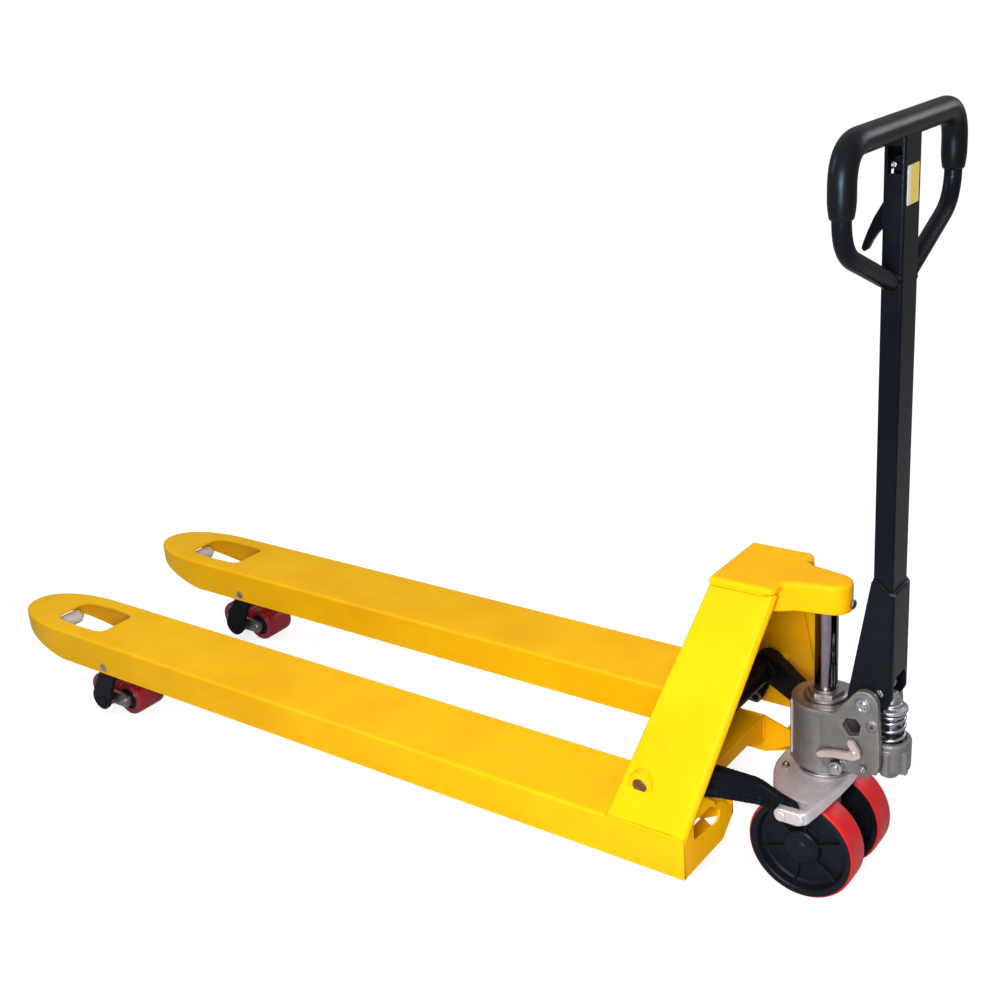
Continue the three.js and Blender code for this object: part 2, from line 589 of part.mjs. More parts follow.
// ---------------------------------------------------------------- pump
// The two small fittings in the near wall: centre, and radii of the shank and the six-sided head.
const VALVE_CAP = { centre: [44, 249], radius: 6, head: 9, face: -66 };
const VALVE_SCREW = { centre: [84, 254], radius: 3, head: 5, face: -57 };
const WALL = { inner: 38, outer: 51 };

function buildPumpBody() {
  const reservoir = bar('z', RESERVOIR_RADIUS, PUMP_BOTTOM, RESERVOIR_TOP, [0, 0], 28);
  const spigot = bar('z', SPIGOT.radius, SPIGOT.bottom, PUMP_BOTTOM + OVER, [0, 0], 24);
  const wallOutline = [
    [14, 246], [40, 240], [104, 246], [108, 262], [108, 302], [103.5, EAR.z],
    ...arc([EAR.x, EAR.z], EAR.radius, 0, 150),
    [38, RESERVOIR_TOP + 2], [30, RESERVOIR_TOP], [14, RESERVOIR_TOP],
  ];
  const hexagon = [[48, 320], [55, 334], [71, 336], [79, 326], [76, 308], [60, 303]];
  const nearWall = prism('y', wallOutline, -WALL.outer, -WALL.inner, [hexagon]);
  const farWall = prism('y', wallOutline, WALL.inner, WALL.outer);
  const floor = block([30, 92], [-WALL.inner - 2, WALL.inner + 2], [244, 268]);
  const cupRoom = bar('z', CUP.radius + GAP, 0, CUP.top + 6, [PISTON_X, 0], 24);
  const earHole = bar('y', PIN.handle + GAP, -FAR, FAR, [EAR.x, EAR.z]);
  const ramBore = bar('z', RAM_RADIUS + RUN, 136, RESERVOIR_TOP + OVER, [0, 0], 20);
  const axleHole = bar('y', PIN.wheel + GAP, -FAR, FAR, [WHEEL_AXLE_X, WHEEL_RADIUS]);
  const valveHole = bar('y', VALVE_CAP.radius + GAP, -60, -36, VALVE_CAP.centre, 12);
  const screwHole = bar('y', VALVE_SCREW.radius + GAP, -60, -30, VALVE_SCREW.centre, 12);
  const casting = join(reservoir, spigot, nearWall, farWall, floor);
  return cut(casting, cupRoom, earHole, ramBore, axleHole, valveHole, screwHole);
}

function buildPumpCylinder() {
  const cup = bar('z', CUP.radius, CUP.bottom, CUP.top, [PISTON_X, 0], 24);
  const barrel = bar('z', 14, 221, CUP.bottom + OVER, [PISTON_X, 0]);
  const springSeat = bar('z', SPRING_CAP.seat, CUP.seat, CUP.top + OVER, [PISTON_X, 0], 20);
  const bore = bar('z', PISTON.radius + RUN, 226, CUP.seat + OVER, [PISTON_X, 0]);
  return cut(join(cup, barrel), springSeat, bore);
}

// The piston carries a flange that rests on the spring cap and a button under the cam roller.
function buildPiston() {
  const flangeBottom = SPRING_CAP.top + GAP;
  const flangeTop = flangeBottom + 5.7;
  const plunger = bar('z', PISTON.radius, PISTON.bottom, flangeBottom + OVER, [PISTON_X, 0]);
  const flange = bar('z', 14, flangeBottom, flangeTop, [PISTON_X, 0]);
  const button = bar('z', 10.5, flangeTop - OVER, PISTON.top, [PISTON_X, 0]);
  return join(plunger, flange, button);
}

// A helix of round wire round the piston, between the seat in the cylinder and the cap.
class Helix extends THREE.Curve {
  constructor(radius, low, high, turns) {
    super();
    Object.assign(this, { radius, low, high, turns });
  }

  getPoint(t, target = new THREE.Vector3()) {
    const angle = t * this.turns * 2 * Math.PI;
    const height = this.low + t * (this.high - this.low);
    return target.set(this.radius * Math.cos(angle), this.radius * Math.sin(angle), height);
  }
}

// A round section pushed along a path, with an optional hole through it.
function swept(path, radius, sides, steps, hole = 0) {
  const shape = new THREE.Shape(round(radius, sides).map(([u, v]) => new THREE.Vector2(u, v)));
  if (hole > 0) {
    shape.holes.push(new THREE.Path(round(hole, sides).map(([u, v]) => new THREE.Vector2(u, v))));
  }
  return new THREE.ExtrudeGeometry(shape, { steps, bevelEnabled: false, extrudePath: path });
}

function buildSpring() {
  const stepsPerTurn = 10;
  const clear = SPRING.wire + 0.8;
  const helix = new Helix(SPRING.radius, CUP.seat + clear, SPRING_CAP.bottom - clear, SPRING.turns);
  const geometry = swept(helix, SPRING.wire, 5, SPRING.turns * stepsPerTurn);
  geometry.translate(PISTON_X, 0, 0);
  return solid(geometry);
}

function buildSpringCap() {
  const hole = round(PISTON.radius + GAP, 16, [PISTON_X, 0]);
  return prism('z', round(SPRING_CAP.radius, 20, [PISTON_X, 0]), SPRING_CAP.bottom, SPRING_CAP.top, [hole]);
}

// Release lever beside the pump: a flat foot, a pivot and an arm that reaches up into the wall's opening.
function buildReleaseLever() {
  const foot = [
    [12, 264], [16, 258], [40, 264], [66, 268], [80, 276], [78, 288], [66, 300], [60, 299], [64, 284],
    [58, 278], [36, 274],
  ];
  return prism('y', foot, -60, -53, [round(3.4, 12, [71, 280])]);
}

// Ring with a six-sided top that seals the ram.
function buildGland() {
  const bore = round(RAM_RADIUS + RUN, 20);
  const ring = prism('z', round(34, 24), RESERVOIR_TOP + GAP, 340, [bore]);
  return join(ring, prism('z', round(25, 6), 340 - OVER, 347, [bore]));
}

// A fitting screwed into the near wall, with its head outside.
function buildFitting({ centre, radius, head, face }, depth) {
  const seat = -WALL.outer - GAP;
  const shank = bar('y', radius, seat - 0.2, depth, centre, 12);
  return join(shank, bar('y', head, face, seat, centre, 6));
}

const handlePin = bar('y', PIN.handle, -WALL.outer - 2, WALL.outer + 2, [EAR.x, EAR.z]);
const wheelAxle = bar('y', PIN.wheel, -WHEEL_OUTER + 4, WHEEL_OUTER - 4, [WHEEL_AXLE_X, WHEEL_RADIUS]);
add(truck, 'pump_body', buildPumpBody(), MATERIALS.casting);
add(truck, 'pump_cylinder', buildPumpCylinder(), MATERIALS.casting);
add(truck, 'ram_gland', buildGland(), MATERIALS.steel);
add(truck, 'handle_pin', handlePin, MATERIALS.zinc);
add(truck, 'wheel_axle', wheelAxle, MATERIALS.steel);
add(truck, 'valve_cap', buildFitting(VALVE_CAP, -WALL.inner), MATERIALS.zinc);
add(truck, 'valve_screw', buildFitting(VALVE_SCREW, -34), MATERIALS.zinc);
add(truck, 'release_lever', buildReleaseLever(), MATERIALS.steel);
add(truck, 'pump_piston', buildPiston(), MATERIALS.zinc);
add(truck, 'spring_cap', buildSpringCap(), MATERIALS.zinc);
add(truck, 'pump_spring', buildSpring(), MATERIALS.steel);

// ---------------------------------------------------------------- steering wheels
const RIM = { inner: 73, outer: 83 };
const HUB_BOSS = { inner: 20, outer: 30 };

function buildHub() {
  const half = WHEEL_WIDTH / 2;
  const disc = 8;
  const halfProfile = [
    [HUB_BOSS.inner + GAP, half - 4], [HUB_BOSS.outer, half - 4], [HUB_BOSS.outer, disc], [RIM.inner, disc],
    [RIM.inner, half - 1], [RIM.outer, half - 1],
  ];
  const ribCount = 6;
  const ribs = [];
  for (let i = 0; i < ribCount; i += 1) {
    const rib = new THREE.BoxGeometry(RIM.inner - HUB_BOSS.outer + 3, WHEEL_WIDTH - 14, 5);
    rib.translate((RIM.inner + HUB_BOSS.outer - 1) / 2, 0, 0);
    rib.rotateY((i * 2 * Math.PI) / ribCount);
    ribs.push(solid(rib));
  }
  return join(turned(symmetric(halfProfile, 1), 28), ...ribs);
}

function buildTread() {
  const half = WHEEL_WIDTH / 2;
  const edge = 4;
  const halfProfile = [
    [RIM.outer + GAP, half - 1], [WHEEL_RADIUS - edge, half], [WHEEL_RADIUS, half - edge],
  ];
  return turned(symmetric(halfProfile, 1), 28);
}

const hub = buildHub();
const tread = buildTread();
const bearing = turned(symmetric([[PIN.wheel + RUN, 14], [HUB_BOSS.inner, 14]], 1), 28);
[['left', -1], ['right', 1]].forEach(([side, sign]) => {
  const wheel = new THREE.Group();
  wheel.position.set(WHEEL_AXLE_X, (sign * (WHEEL_INNER + WHEEL_OUTER)) / 2, WHEEL_RADIUS);
  add(wheel, `wheel_hub_${side}`, hub, MATERIALS.hub);
  add(wheel, `wheel_tread_${side}`, tread, MATERIALS.red);
  add(wheel, `wheel_bearing_${side}`, bearing, MATERIALS.steel);
  truck.add(wheel);
});

// ---------------------------------------------------------------- handle
const COLUMN_BACK = COLUMN.x - COLUMN.depth / 2;
const COLUMN_FRONT = COLUMN.x + COLUMN.depth / 2;
const COLUMN_HALF = COLUMN.width / 2;
const TRIGGER_PIVOT = [COLUMN.x, TRIGGER_PIVOT_Z];
const CAM_CENTRE = [CAM.x, CAM.z];
const YOKE_PLATE = { cheek: 6, web: 4 };

function buildColumn() {
  const outer = rectangle(COLUMN_BACK, COLUMN_FRONT, -COLUMN_HALF, COLUMN_HALF);
  const insideHalf = COLUMN_HALF - COLUMN.wall;
  const inner = rectangle(COLUMN_BACK + COLUMN.wall, COLUMN_FRONT - COLUMN.wall, -insideHalf, insideHalf);
  const tube = prism('z', outer, COLUMN.bottom, COLUMN.top, [inner]);
  const slotDepth = COLUMN.wall + OVER;
  const triggerSlot = block([COLUMN_BACK - OVER, COLUMN_BACK + slotDepth], [-8, 8], [1052, 1148]);
  const accessHole = block([89, 109], [-COLUMN_HALF - OVER, -COLUMN_HALF + slotDepth], [1146, 1181]);
  const pinHole = bar('y', PIN.trigger + GAP, -FAR, FAR, TRIGGER_PIVOT, 12);
  return cut(tube, triggerSlot, accessHole, pinHole);
}

// Yoke: a channel welded round the foot of the column, whose cheeks spread towards the pivot.
function buildYoke() {
  const front = COLUMN_FRONT + YOKE_PLATE.web;
  const cheek = [
    [84, 561], [front, 536], [front, 372], [112, 360], [102, 346], [64, 346], [50, 358], [50, 366],
  ];
  const inside = COLUMN_HALF + GAP;
  const left = prism('y', cheek, -inside - YOKE_PLATE.cheek, -inside);
  const right = prism('y', cheek, inside, inside + YOKE_PLATE.cheek);
  const lap = inside + YOKE_PLATE.cheek / 2;
  const web = block([COLUMN_FRONT + GAP, front], [-lap, lap], [402, 536]);
  const pinHole = bar('y', PIN.handle + RUN, -FAR, FAR, [EAR.x, EAR.z]);
  const camHole = bar('y', PIN.cam + GAP, -FAR, FAR, CAM_CENTRE, 12);
  return cut(join(left, right, web), pinHole, camHole);
}

// Centre line of the handle loop: up the sides, round the top corners and across the bar.
function loopPath(fromSides) {
  const corner = 45;
  const bendRadius = 34;
  const side = LOOP.halfWidth;
  const top = LOOP.barHeight;
  const foot = COLUMN_HALF + GAP + 1;
  const slope = new THREE.Vector3(0, side - foot, LOOP.bend - LOOP.foot).normalize();
  const at = (y, z) => new THREE.Vector3(COLUMN.x, y, z);
  const path = new THREE.CurvePath();
  const lowBend = (sign) => [
    at(sign * (side - slope.y * bendRadius), LOOP.bend - slope.z * bendRadius),
    at(sign * side, LOOP.bend),
    at(sign * side, LOOP.bend + bendRadius),
  ];
  const [leftIn, leftCorner, leftOut] = lowBend(-1);
  const [rightIn, rightCorner, rightOut] = lowBend(1);
  const start = fromSides ? at(-side, LOOP.gripEnd) : leftOut;
  const end = fromSides ? at(side, LOOP.gripEnd) : rightOut;
  if (!fromSides) {
    path.add(new THREE.LineCurve3(at(-foot, LOOP.foot), leftIn));
    path.add(new THREE.QuadraticBezierCurve3(leftIn, leftCorner, leftOut));
  }
  path.add(new THREE.LineCurve3(start, at(-side, top - corner)));
  path.add(new THREE.QuadraticBezierCurve3(at(-side, top - corner), at(-side, top), at(-side + corner, top)));
  path.add(new THREE.LineCurve3(at(-side + corner, top), at(side - corner, top)));
  path.add(new THREE.QuadraticBezierCurve3(at(side - corner, top), at(side, top), at(side, top - corner)));
  path.add(new THREE.LineCurve3(at(side, top - corner), end));
  if (!fromSides) {
    path.add(new THREE.QuadraticBezierCurve3(rightOut, rightCorner, rightIn));
    path.add(new THREE.LineCurve3(rightIn, at(foot, LOOP.foot)));
  }
  return path;
}

function buildLoop() {
  const room = COLUMN_HALF + GAP;
  const reach = 100;
  const clear = block([0, 2 * COLUMN.x], [-room, room], [LOOP.foot - reach, LOOP.foot + reach]);
  return cut(solid(swept(loopPath(false), LOOP.tube, 8, 44)), clear);
}

function buildGrip() {
  return solid(swept(loopPath(true), LOOP.grip, 8, 26, LOOP.tube + 2));
}

function buildTrigger() {
  const lever = [
    [90, 1150], [84, 1120], [68, 1098], [52, 1064], [45.5, 1044], [47, 1037], [53, 1037], [62, 1056],
    [74, 1070], [88, 1078], [98, 1120], [104, 1150],
  ];
  const arm = prism('y', lever, -5, 5);
  const boss = bar('y', 9, -9, 9, TRIGGER_PIVOT, 16);
  return cut(join(arm, boss), bar('y', PIN.trigger + RUN, -20, 20, TRIGGER_PIVOT, 12));
}

function buildCamRoller() {
  return prism('y', round(CAM.radius, 16, CAM_CENTRE), -12, 12, [round(PIN.cam + RUN, 12, CAM_CENTRE)]);
}

const triggerPin = bar('y', PIN.trigger, -COLUMN_HALF - OVER, COLUMN_HALF + OVER, TRIGGER_PIVOT, 12);
const label = block([COLUMN_FRONT + GAP, COLUMN_FRONT + GAP + 0.8], [-20, 20], [1103, 1155]);
add(truck, 'handle_tube', buildColumn(), MATERIALS.black);
add(truck, 'yoke', buildYoke(), MATERIALS.black);
add(truck, 'handle_loop', buildLoop(), MATERIALS.black);
add(truck, 'grip_cover', buildGrip(), MATERIALS.rubber);
add(truck, 'cam_pin', bar('y', PIN.cam, -36.5, 36.5, CAM_CENTRE, 12), MATERIALS.zinc);
add(truck, 'cam_roller', buildCamRoller(), MATERIALS.zinc);
add(truck, 'trigger', buildTrigger(), MATERIALS.black);
add(truck, 'trigger_pin', triggerPin, MATERIALS.zinc);
add(truck, 'pull_rod', bar('z', PULL_ROD.radius, 395, 1136, [PULL_ROD.x, 0], 8), MATERIALS.zinc);
add(truck, 'label_plate', label, MATERIALS.paper);

// The origin is the middle of the footprint.
const bounds = new THREE.Box3().setFromObject(truck);
truck.position.x = -(bounds.min.x + bounds.max.x) / 2;
truck.updateMatrixWorld(true);

export default truck;
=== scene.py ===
# Looks of a hand pallet truck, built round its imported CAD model.
#
# Shapes are written in millimetres from the axis of the lifting ram and the floor, and `frame_point` moves
# them into the frame. Pieces on the left side (-Y) are built once and mirrored to the right.
import json
import math

import bmesh
import bpy
from mathutils import Matrix, Vector, noise
from mathutils.geometry import tessellate_polygon


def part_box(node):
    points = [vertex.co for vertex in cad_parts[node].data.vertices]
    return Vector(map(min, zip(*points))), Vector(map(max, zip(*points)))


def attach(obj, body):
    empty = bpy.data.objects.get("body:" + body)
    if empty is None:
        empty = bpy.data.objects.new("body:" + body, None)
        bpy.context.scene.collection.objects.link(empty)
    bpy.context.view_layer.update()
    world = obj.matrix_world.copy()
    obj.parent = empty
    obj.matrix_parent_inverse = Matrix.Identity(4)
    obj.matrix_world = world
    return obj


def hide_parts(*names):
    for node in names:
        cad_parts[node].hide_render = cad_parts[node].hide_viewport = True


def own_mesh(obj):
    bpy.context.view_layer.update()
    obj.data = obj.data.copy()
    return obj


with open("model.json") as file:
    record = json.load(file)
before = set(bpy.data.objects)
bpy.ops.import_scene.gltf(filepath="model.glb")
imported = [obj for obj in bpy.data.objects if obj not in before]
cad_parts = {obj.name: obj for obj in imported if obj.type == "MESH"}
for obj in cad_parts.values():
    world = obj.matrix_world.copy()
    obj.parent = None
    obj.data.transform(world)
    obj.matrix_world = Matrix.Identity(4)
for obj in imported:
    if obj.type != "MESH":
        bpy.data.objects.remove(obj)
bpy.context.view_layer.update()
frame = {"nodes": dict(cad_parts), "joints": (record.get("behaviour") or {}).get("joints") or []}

# ---------------------------------------------------------------- sizes, from the frame where it has them
MM = 0.001
CORE = 0.01  # inner radius of a solid turned body


def middle(node):
    low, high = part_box(node)
    return (low + high) / 2 / MM


def low_of(node):
    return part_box(node)[0] / MM


def high_of(node):
    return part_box(node)[1] / MM


RAM_X = middle("ram").x
FORK_LOW = low_of("fork_left") - Vector((RAM_X, 0, 0))
FORK_HIGH = high_of("fork_left") - Vector((RAM_X, 0, 0))
FORK_Y = (FORK_LOW.y + FORK_HIGH.y) / 2
FORK_HALF = (FORK_HIGH.y - FORK_LOW.y) / 2
FORK_BOTTOM = FORK_LOW.z
FORK_TOP = high_of("cross_member").z
OUTER_Y = FORK_Y - FORK_HALF
INNER_Y = FORK_Y + FORK_HALF
HEAD_TOP = high_of("head_plate").z
WHEEL = middle("wheel_tread_left") - Vector((RAM_X, 0, 0))
WHEEL_CENTRE = (WHEEL.x, WHEEL.z)
SHEET = 4  # thickness of the fork's pressed sheet
NOSE_LENGTH = 187
BACKREST_X = -244
HEEL_X = -105
FRAME_TOP = 524
HEAD_HALF = 74.5
LEAN = math.atan2(-OUTER_Y - HEAD_HALF, FRAME_TOP - FORK_TOP)

# Joint axes across the truck, as (x, z)
PIVOT = (-1472, 134.6)
BOGIE = (-1515, 37)
ENTRY = (-1692, 154)
ROCKER = (-196, 241.6)
THRUST_PIN = (-8, 194)
EAR = (82.5, 364)
CAM = (100.4, 380)
PISTON_X = 106
COLUMN_BACK, COLUMN_FRONT, COLUMN_HALF = 83, 113, 29
COLUMN_X = (COLUMN_BACK + COLUMN_FRONT) / 2
TRIGGER_PIN = (COLUMN_X, 1158)


# ---------------------------------------------------------------- outlines
def polar(centre, radius, degrees):
    a = math.radians(degrees)
    return centre[0] + radius * math.cos(a), centre[1] + radius * math.sin(a)


def arc(centre, radius, start, end, steps=12):
    return [polar(centre, radius, start + (end - start) * i / steps) for i in range(steps + 1)]


def bore(centre, radius):
    """A round hole with 24 corners."""
    return arc(centre, radius, 0, 345, 23)


def link(a, radius_a, b, radius_b, steps=14):
    """Two round ends joined by straight sides."""
    along = math.degrees(math.atan2(b[1] - a[1], b[0] - a[0]))
    return arc(a, radius_a, along + 90, along + 270, steps) + arc(b, radius_b, along - 90, along + 90, steps)


def box_outline(u0, u1, v0, v1):
    return [(u0, v0), (u1, v0), (u1, v1), (u0, v1)]


def mirrored(half):
    """The mirror image in the second coordinate, walked the other way."""
    return [(u, -v) for u, v in reversed(half)]


def symmetric(half):
    """An outline or profile completed by its mirror image."""
    return half + mirrored(half)


def shifted(profile, distance):
    """A turned profile moved along its axis."""
    return [(radius, a + distance) for radius, a in profile]


def rounded(points, radius, closed=True, steps=5):
    """The outline with its corners rounded; radius is one number or one per corner."""
    count = len(points)
    radii = radius if isinstance(radius, (list, tuple)) else [radius] * count
    out = []
    for i, corner in enumerate(points):
        if radii[i] <= 0 or (not closed and i in (0, count - 1)):
            out.append(tuple(corner))
            continue
        here = Vector(corner)
        back = Vector(points[i - 1]) - here
        ahead = Vector(points[(i + 1) % count]) - here
        turn = back.angle(ahead)
        reach = min(radii[i] / math.tan(turn / 2), back.length * 0.48, ahead.length * 0.48)
        if math.pi - turn < 0.02 or reach < 1e-3:
            out.append(tuple(corner))
            continue
        start = here + back.normalized() * reach
        end = here + ahead.normalized() * reach
        for k in range(steps + 1):
            t = k / steps
            out.append(tuple(start * (1 - t) ** 2 + here * 2 * t * (1 - t) + end * t * t))
    return out


def signed_area(points):
    total = 0
    for (x0, y0), (x1, y1) in zip(points, points[1:] + points[:1]):
        total += x0 * y1 - x1 * y0
    return total / 2


def inset(points, distance):
    """The closed outline moved inwards."""
    side = 1 if signed_area(points) > 0 else -1
    out = []
    count = len(points)
    for i in range(count):
        before = (Vector(points[i]) - Vector(points[i - 1])).normalized()
        after = (Vector(points[(i + 1) % count]) - Vector(points[i])).normalized()
        normal = Vector((-before.y - after.y, before.x + after.x)) * side
        if normal.length < 1e-6:
            normal = Vector((-after.y, after.x)) * side
        normal.normalize()
        across = Vector((-after.y, after.x)) * side
        stretch = 1 / max(0.5, normal.dot(across))
        out.append(tuple(Vector(points[i]) + normal * distance * stretch))
    return out


# ---------------------------------------------------------------- shells: (points in mm, faces)
PLACES = {
    "x": lambda u, v, a: (a, u, v),
    "y": lambda u, v, a: (u, a, v),
    "z": lambda u, v, a: (u, v, a),
}


def extrude(axis, outline, low, high, holes=()):
    """An outline in the two axes across `axis`, pushed along it."""
    place = PLACES[axis]
    loops = [list(outline), *[list(hole) for hole in holes]]
    count = sum(len(loop) for loop in loops)
    points = [place(u, v, a) for a in (low, high) for loop in loops for u, v in loop]
    if holes:
        flat = [[Vector((u, v, 0)) for u, v in loop] for loop in loops]
        caps = [tuple(t) for t in tessellate_polygon(flat)]
    else:
        caps = [tuple(range(count))]
    faces = caps + [tuple(i + count for i in reversed(cap)) for cap in caps]
    start = 0
    for loop in loops:
        size = len(loop)
        for i in range(size):
            a, b = start + i, start + (i + 1) % size
            faces.append((a, b, b + count, a + count))
        start += size
    return points, faces


def bands(size, levels, ring=False):
    """Faces that join rings of `size` points, one ring per level."""
    faces = []
    for level in range(levels if ring else levels - 1):
        start, after = level * size, (level + 1) % levels * size
        for i in range(size):
            j = (i + 1) % size
            faces.append((start + i, start + j, after + j, after + i))
    return faces


def end_caps(size, levels):
    return [tuple(range(size)), tuple(range(size * (levels - 1), size * levels))]


def loft(axis, layers):
    """Outlines of equal length, each at its own place along the axis, joined into a closed body."""
    size, levels = len(layers[0][0]), len(layers)
    points = [PLACES[axis](u, v, a) for outline, a in layers for u, v in outline]
    return points, end_caps(size, levels) + bands(size, levels)


def slab(outline, low, high, low_round=0.0, high_round=0.0, axis="z", steps=4):
    """A plate whose lower and upper edges are rounded."""
    def rolled(edge, radius, inwards, k):
        a = math.pi / 2 * k / steps
        return inset(outline, radius * (1 - math.cos(a))), edge + inwards * radius * (1 - math.sin(a))

    layers = [(outline, low + low_round)]
    if low_round:
        layers = [rolled(low, low_round, 1, k) for k in range(steps, 0, -1)] + layers
    layers.append((outline, high - high_round))
    if high_round:
        layers += [rolled(high, high_round, -1, k) for k in range(1, steps + 1)]
    return loft(axis, layers)


def revolve(axis, profile, centre=(0, 0), segments=64, ring=False):
    """A turned body. Profile points are (radius, place along the axis)."""
    points = []
    for radius, a in profile:
        for k in range(segments):
            points.append(PLACES[axis](*polar(centre, radius, 360 * k / segments), a))
    levels = len(profile)
    return points, bands(segments, levels, ring) + ([] if ring else end_caps(segments, levels))


def turned(axis, profile, centre=(0, 0), edge=1.0, segments=64):
    """A solid turned body with rounded edges, from (radius, place) corners."""
    return revolve(axis, rounded(profile, edge, closed=False, steps=3), centre, segments)


def turned_ring(axis, profile, centre=(0, 0), edge=1.0, segments=64):
    return revolve(axis, rounded(profile, edge, steps=3), centre, segments, ring=True)


def rod(axis, radius, low, high, centre=(0, 0), edge=0.8, segments=32):
    return turned(axis, [(CORE, low), (radius, low), (radius, high), (CORE, high)], centre, edge, segments)


def hole(axis, radius, low, high, centre=(0, 0), segments=40, edge=0.1):
    """A rod that is taken away from a body."""
    return rod(axis, radius, low, high, centre, edge, segments)


def collar(axis, inner, radius, low, high, centre=(0, 0), edge=0.6, segments=64):
    """A plain ring with rounded edges."""
    return turned_ring(axis, box_outline(inner, radius, low, high), centre, edge, segments)


def hexagon(radius, centre, turn=0):
    return arc(centre, radius / math.cos(math.pi / 6), turn, turn + 300, 5)


def hex_head(axis, radius, low, high, centre, turn=0):
    """A hexagon head whose corners are turned down at both ends."""
    chamfer, depth = 1.2, 0.8
    outline = rounded(hexagon(radius, centre, turn), 0.6, steps=2)
    small = inset(outline, chamfer)
    return loft(axis, [(small, low), (outline, low + depth), (outline, high - depth), (small, high)])


def block(x, y, z):
    return extrude("z", box_outline(*x, *y), *z)


def plate_at(outline, y, half, holes=()):
    """An upright plate, `half` thick to each side of y."""
    return extrude("y", outline, y - half, y + half, holes)


def sweep(path, radius, sides=24):
    """A round section along a path; radius is a number or one per point."""
    path = [Vector(p) for p in path]
    count = len(path)
    radii = radius if isinstance(radius, list) else [radius] * count
    tangents = [(path[min(i + 1, count - 1)] - path[max(i - 1, 0)]).normalized() for i in range(count)]
    helper = Vector((1, 0, 0)) if abs(tangents[0].x) < 0.9 else Vector((0, 1, 0))
    normal = (helper - tangents[0] * helper.dot(tangents[0])).normalized()
    points = []
    for i in range(count):
        normal = (normal - tangents[i] * normal.dot(tangents[i])).normalized()
        side = tangents[i].cross(normal)
        for k in range(sides):
            a = 2 * math.pi * k / sides
            points.append(tuple(path[i] + (normal * math.cos(a) + side * math.sin(a)) * radii[i]))
    return points, bands(sides, count) + end_caps(sides, count)


def resample(path, step):
    """Points about `step` apart along a polyline."""
    path = [Vector(p) for p in path]
    out = [path[0]]
    for a, b in zip(path, path[1:]):
        pieces = max(1, round((b - a).length / step))
        out += [a.lerp(b, k / pieces) for k in range(1, pieces + 1)]
    return out


def weld(path, radius, seed=0.0):
    """A weld bead: ripples a couple of millimetres apart and a slightly wandering width."""
    points = resample(path, 1.1)
    radii = []
    for i, p in enumerate(points):
        ripple = 0.10 * math.sin(i * 1.9)
        drift = 0.16 * noise.noise(p * 0.09 + Vector((seed, 0, 0)))
        fade = min(1, 0.35 + i / 5, 0.35 + (len(points) - 1 - i) / 5)
        radii.append(radius * (1 + ripple + drift) * fade)
    return sweep(points, radii, sides=10)


# ---------------------------------------------------------------- objects
def frame_point(point):
    return ((point[0] + RAM_X) * MM, point[1] * MM, point[2] * MM)


def mesh_of(name, shells):
    points, faces = [], []
    for shell_points, shell_faces in shells:
        start = len(points)
        points += [frame_point(p) for p in shell_points]
        faces += [tuple(i + start for i in face) for face in shell_faces]
    mesh = bpy.data.meshes.new(name)
    mesh.from_pydata(points, [], faces)
    work = bmesh.new()
    work.from_mesh(mesh)
    bmesh.ops.remove_doubles(work, verts=work.verts, dist=2e-6)
    bmesh.ops.recalc_face_normals(work, faces=work.faces)
    work.to_mesh(mesh)
    work.free()
    return mesh


def loose(name, shells):
    """An object that isn't a piece yet."""
    made = bpy.data.objects.new(name, mesh_of(name, shells))
    bpy.context.scene.collection.objects.link(made)
    return made


def apply_modifiers(made):
    graph = bpy.context.evaluated_depsgraph_get()
    mesh = bpy.data.meshes.new_from_object(made.evaluated_get(graph))
    made.modifiers.clear()
    made.data = mesh
    return made


def combine_with(made, tool, operation="DIFFERENCE"):
    """A boolean with another object, which is used up."""
    modifier = made.modifiers.new("combine", "BOOLEAN")
    modifier.operation = operation
    modifier.solver = "MANIFOLD"
    modifier.object = tool
    apply_modifiers(made)
    bpy.data.objects.remove(tool)
    return made


def combine(made, shells, operation="DIFFERENCE"):
    return combine_with(made, loose("tool", shells), operation)


def carve(made, *shells):
    """Takes shells away from an object, one after another."""
    for shell in shells:
        combine(made, [shell])


def join_into(target, other):
    """Adds another object's mesh to the target's."""
    work = bmesh.new()
    work.from_mesh(target.data)
    work.from_mesh(other.data)
    work.to_mesh(target.data)
    work.free()
    bpy.data.objects.remove(other)


def fuse(made, voxel, smoothing):
    """Melts overlapping shells into one body with soft inner and outer edges, like a casting."""
    remesh = made.modifiers.new("remesh", "REMESH")
    remesh.mode = "VOXEL"
    remesh.voxel_size = voxel * MM
    remesh.adaptivity = 0
    smooth = made.modifiers.new("smooth", "SMOOTH")
    smooth.factor = 0.5
    smooth.iterations = smoothing
    return apply_modifiers(made)


def soften(made, bevel, segments, angle, corner="MITER_ARC", weight=60):
    """Rounded edges that the render works out, with normals that keep the flats flat."""
    soft = made.modifiers.new("bevel", "BEVEL")
    soft.width = bevel * MM
    soft.segments = segments
    soft.limit_method = "ANGLE"
    soft.angle_limit = math.radians(angle)
    soft.use_clamp_overlap = True
    soft.miter_outer = corner
    weighted = made.modifiers.new("normals", "WEIGHTED_NORMAL")
    weighted.keep_sharp = False
    weighted.weight = weight


def shade(made, angle=35, bevel=0.0, segments=3):
    made.data.shade_smooth()
    made.data.set_sharp_from_angle(angle=math.radians(angle))
    if bevel:
        soften(made, bevel, segments, angle)


def keep_cad(node, finish, bevel):
    """A CAD node whose shape is right: flat faces are merged and its edges rounded."""
    made = frame["nodes"][node]
    merge = made.modifiers.new("merge", "DECIMATE")
    merge.decimate_type = "DISSOLVE"
    merge.angle_limit = math.radians(0.5)
    soften(made, bevel, 3, 30, "MITER_SHARP", 50)
    made.data.shade_smooth()
    made.data.materials.clear()
    made.data.materials.append(MATERIALS[finish])


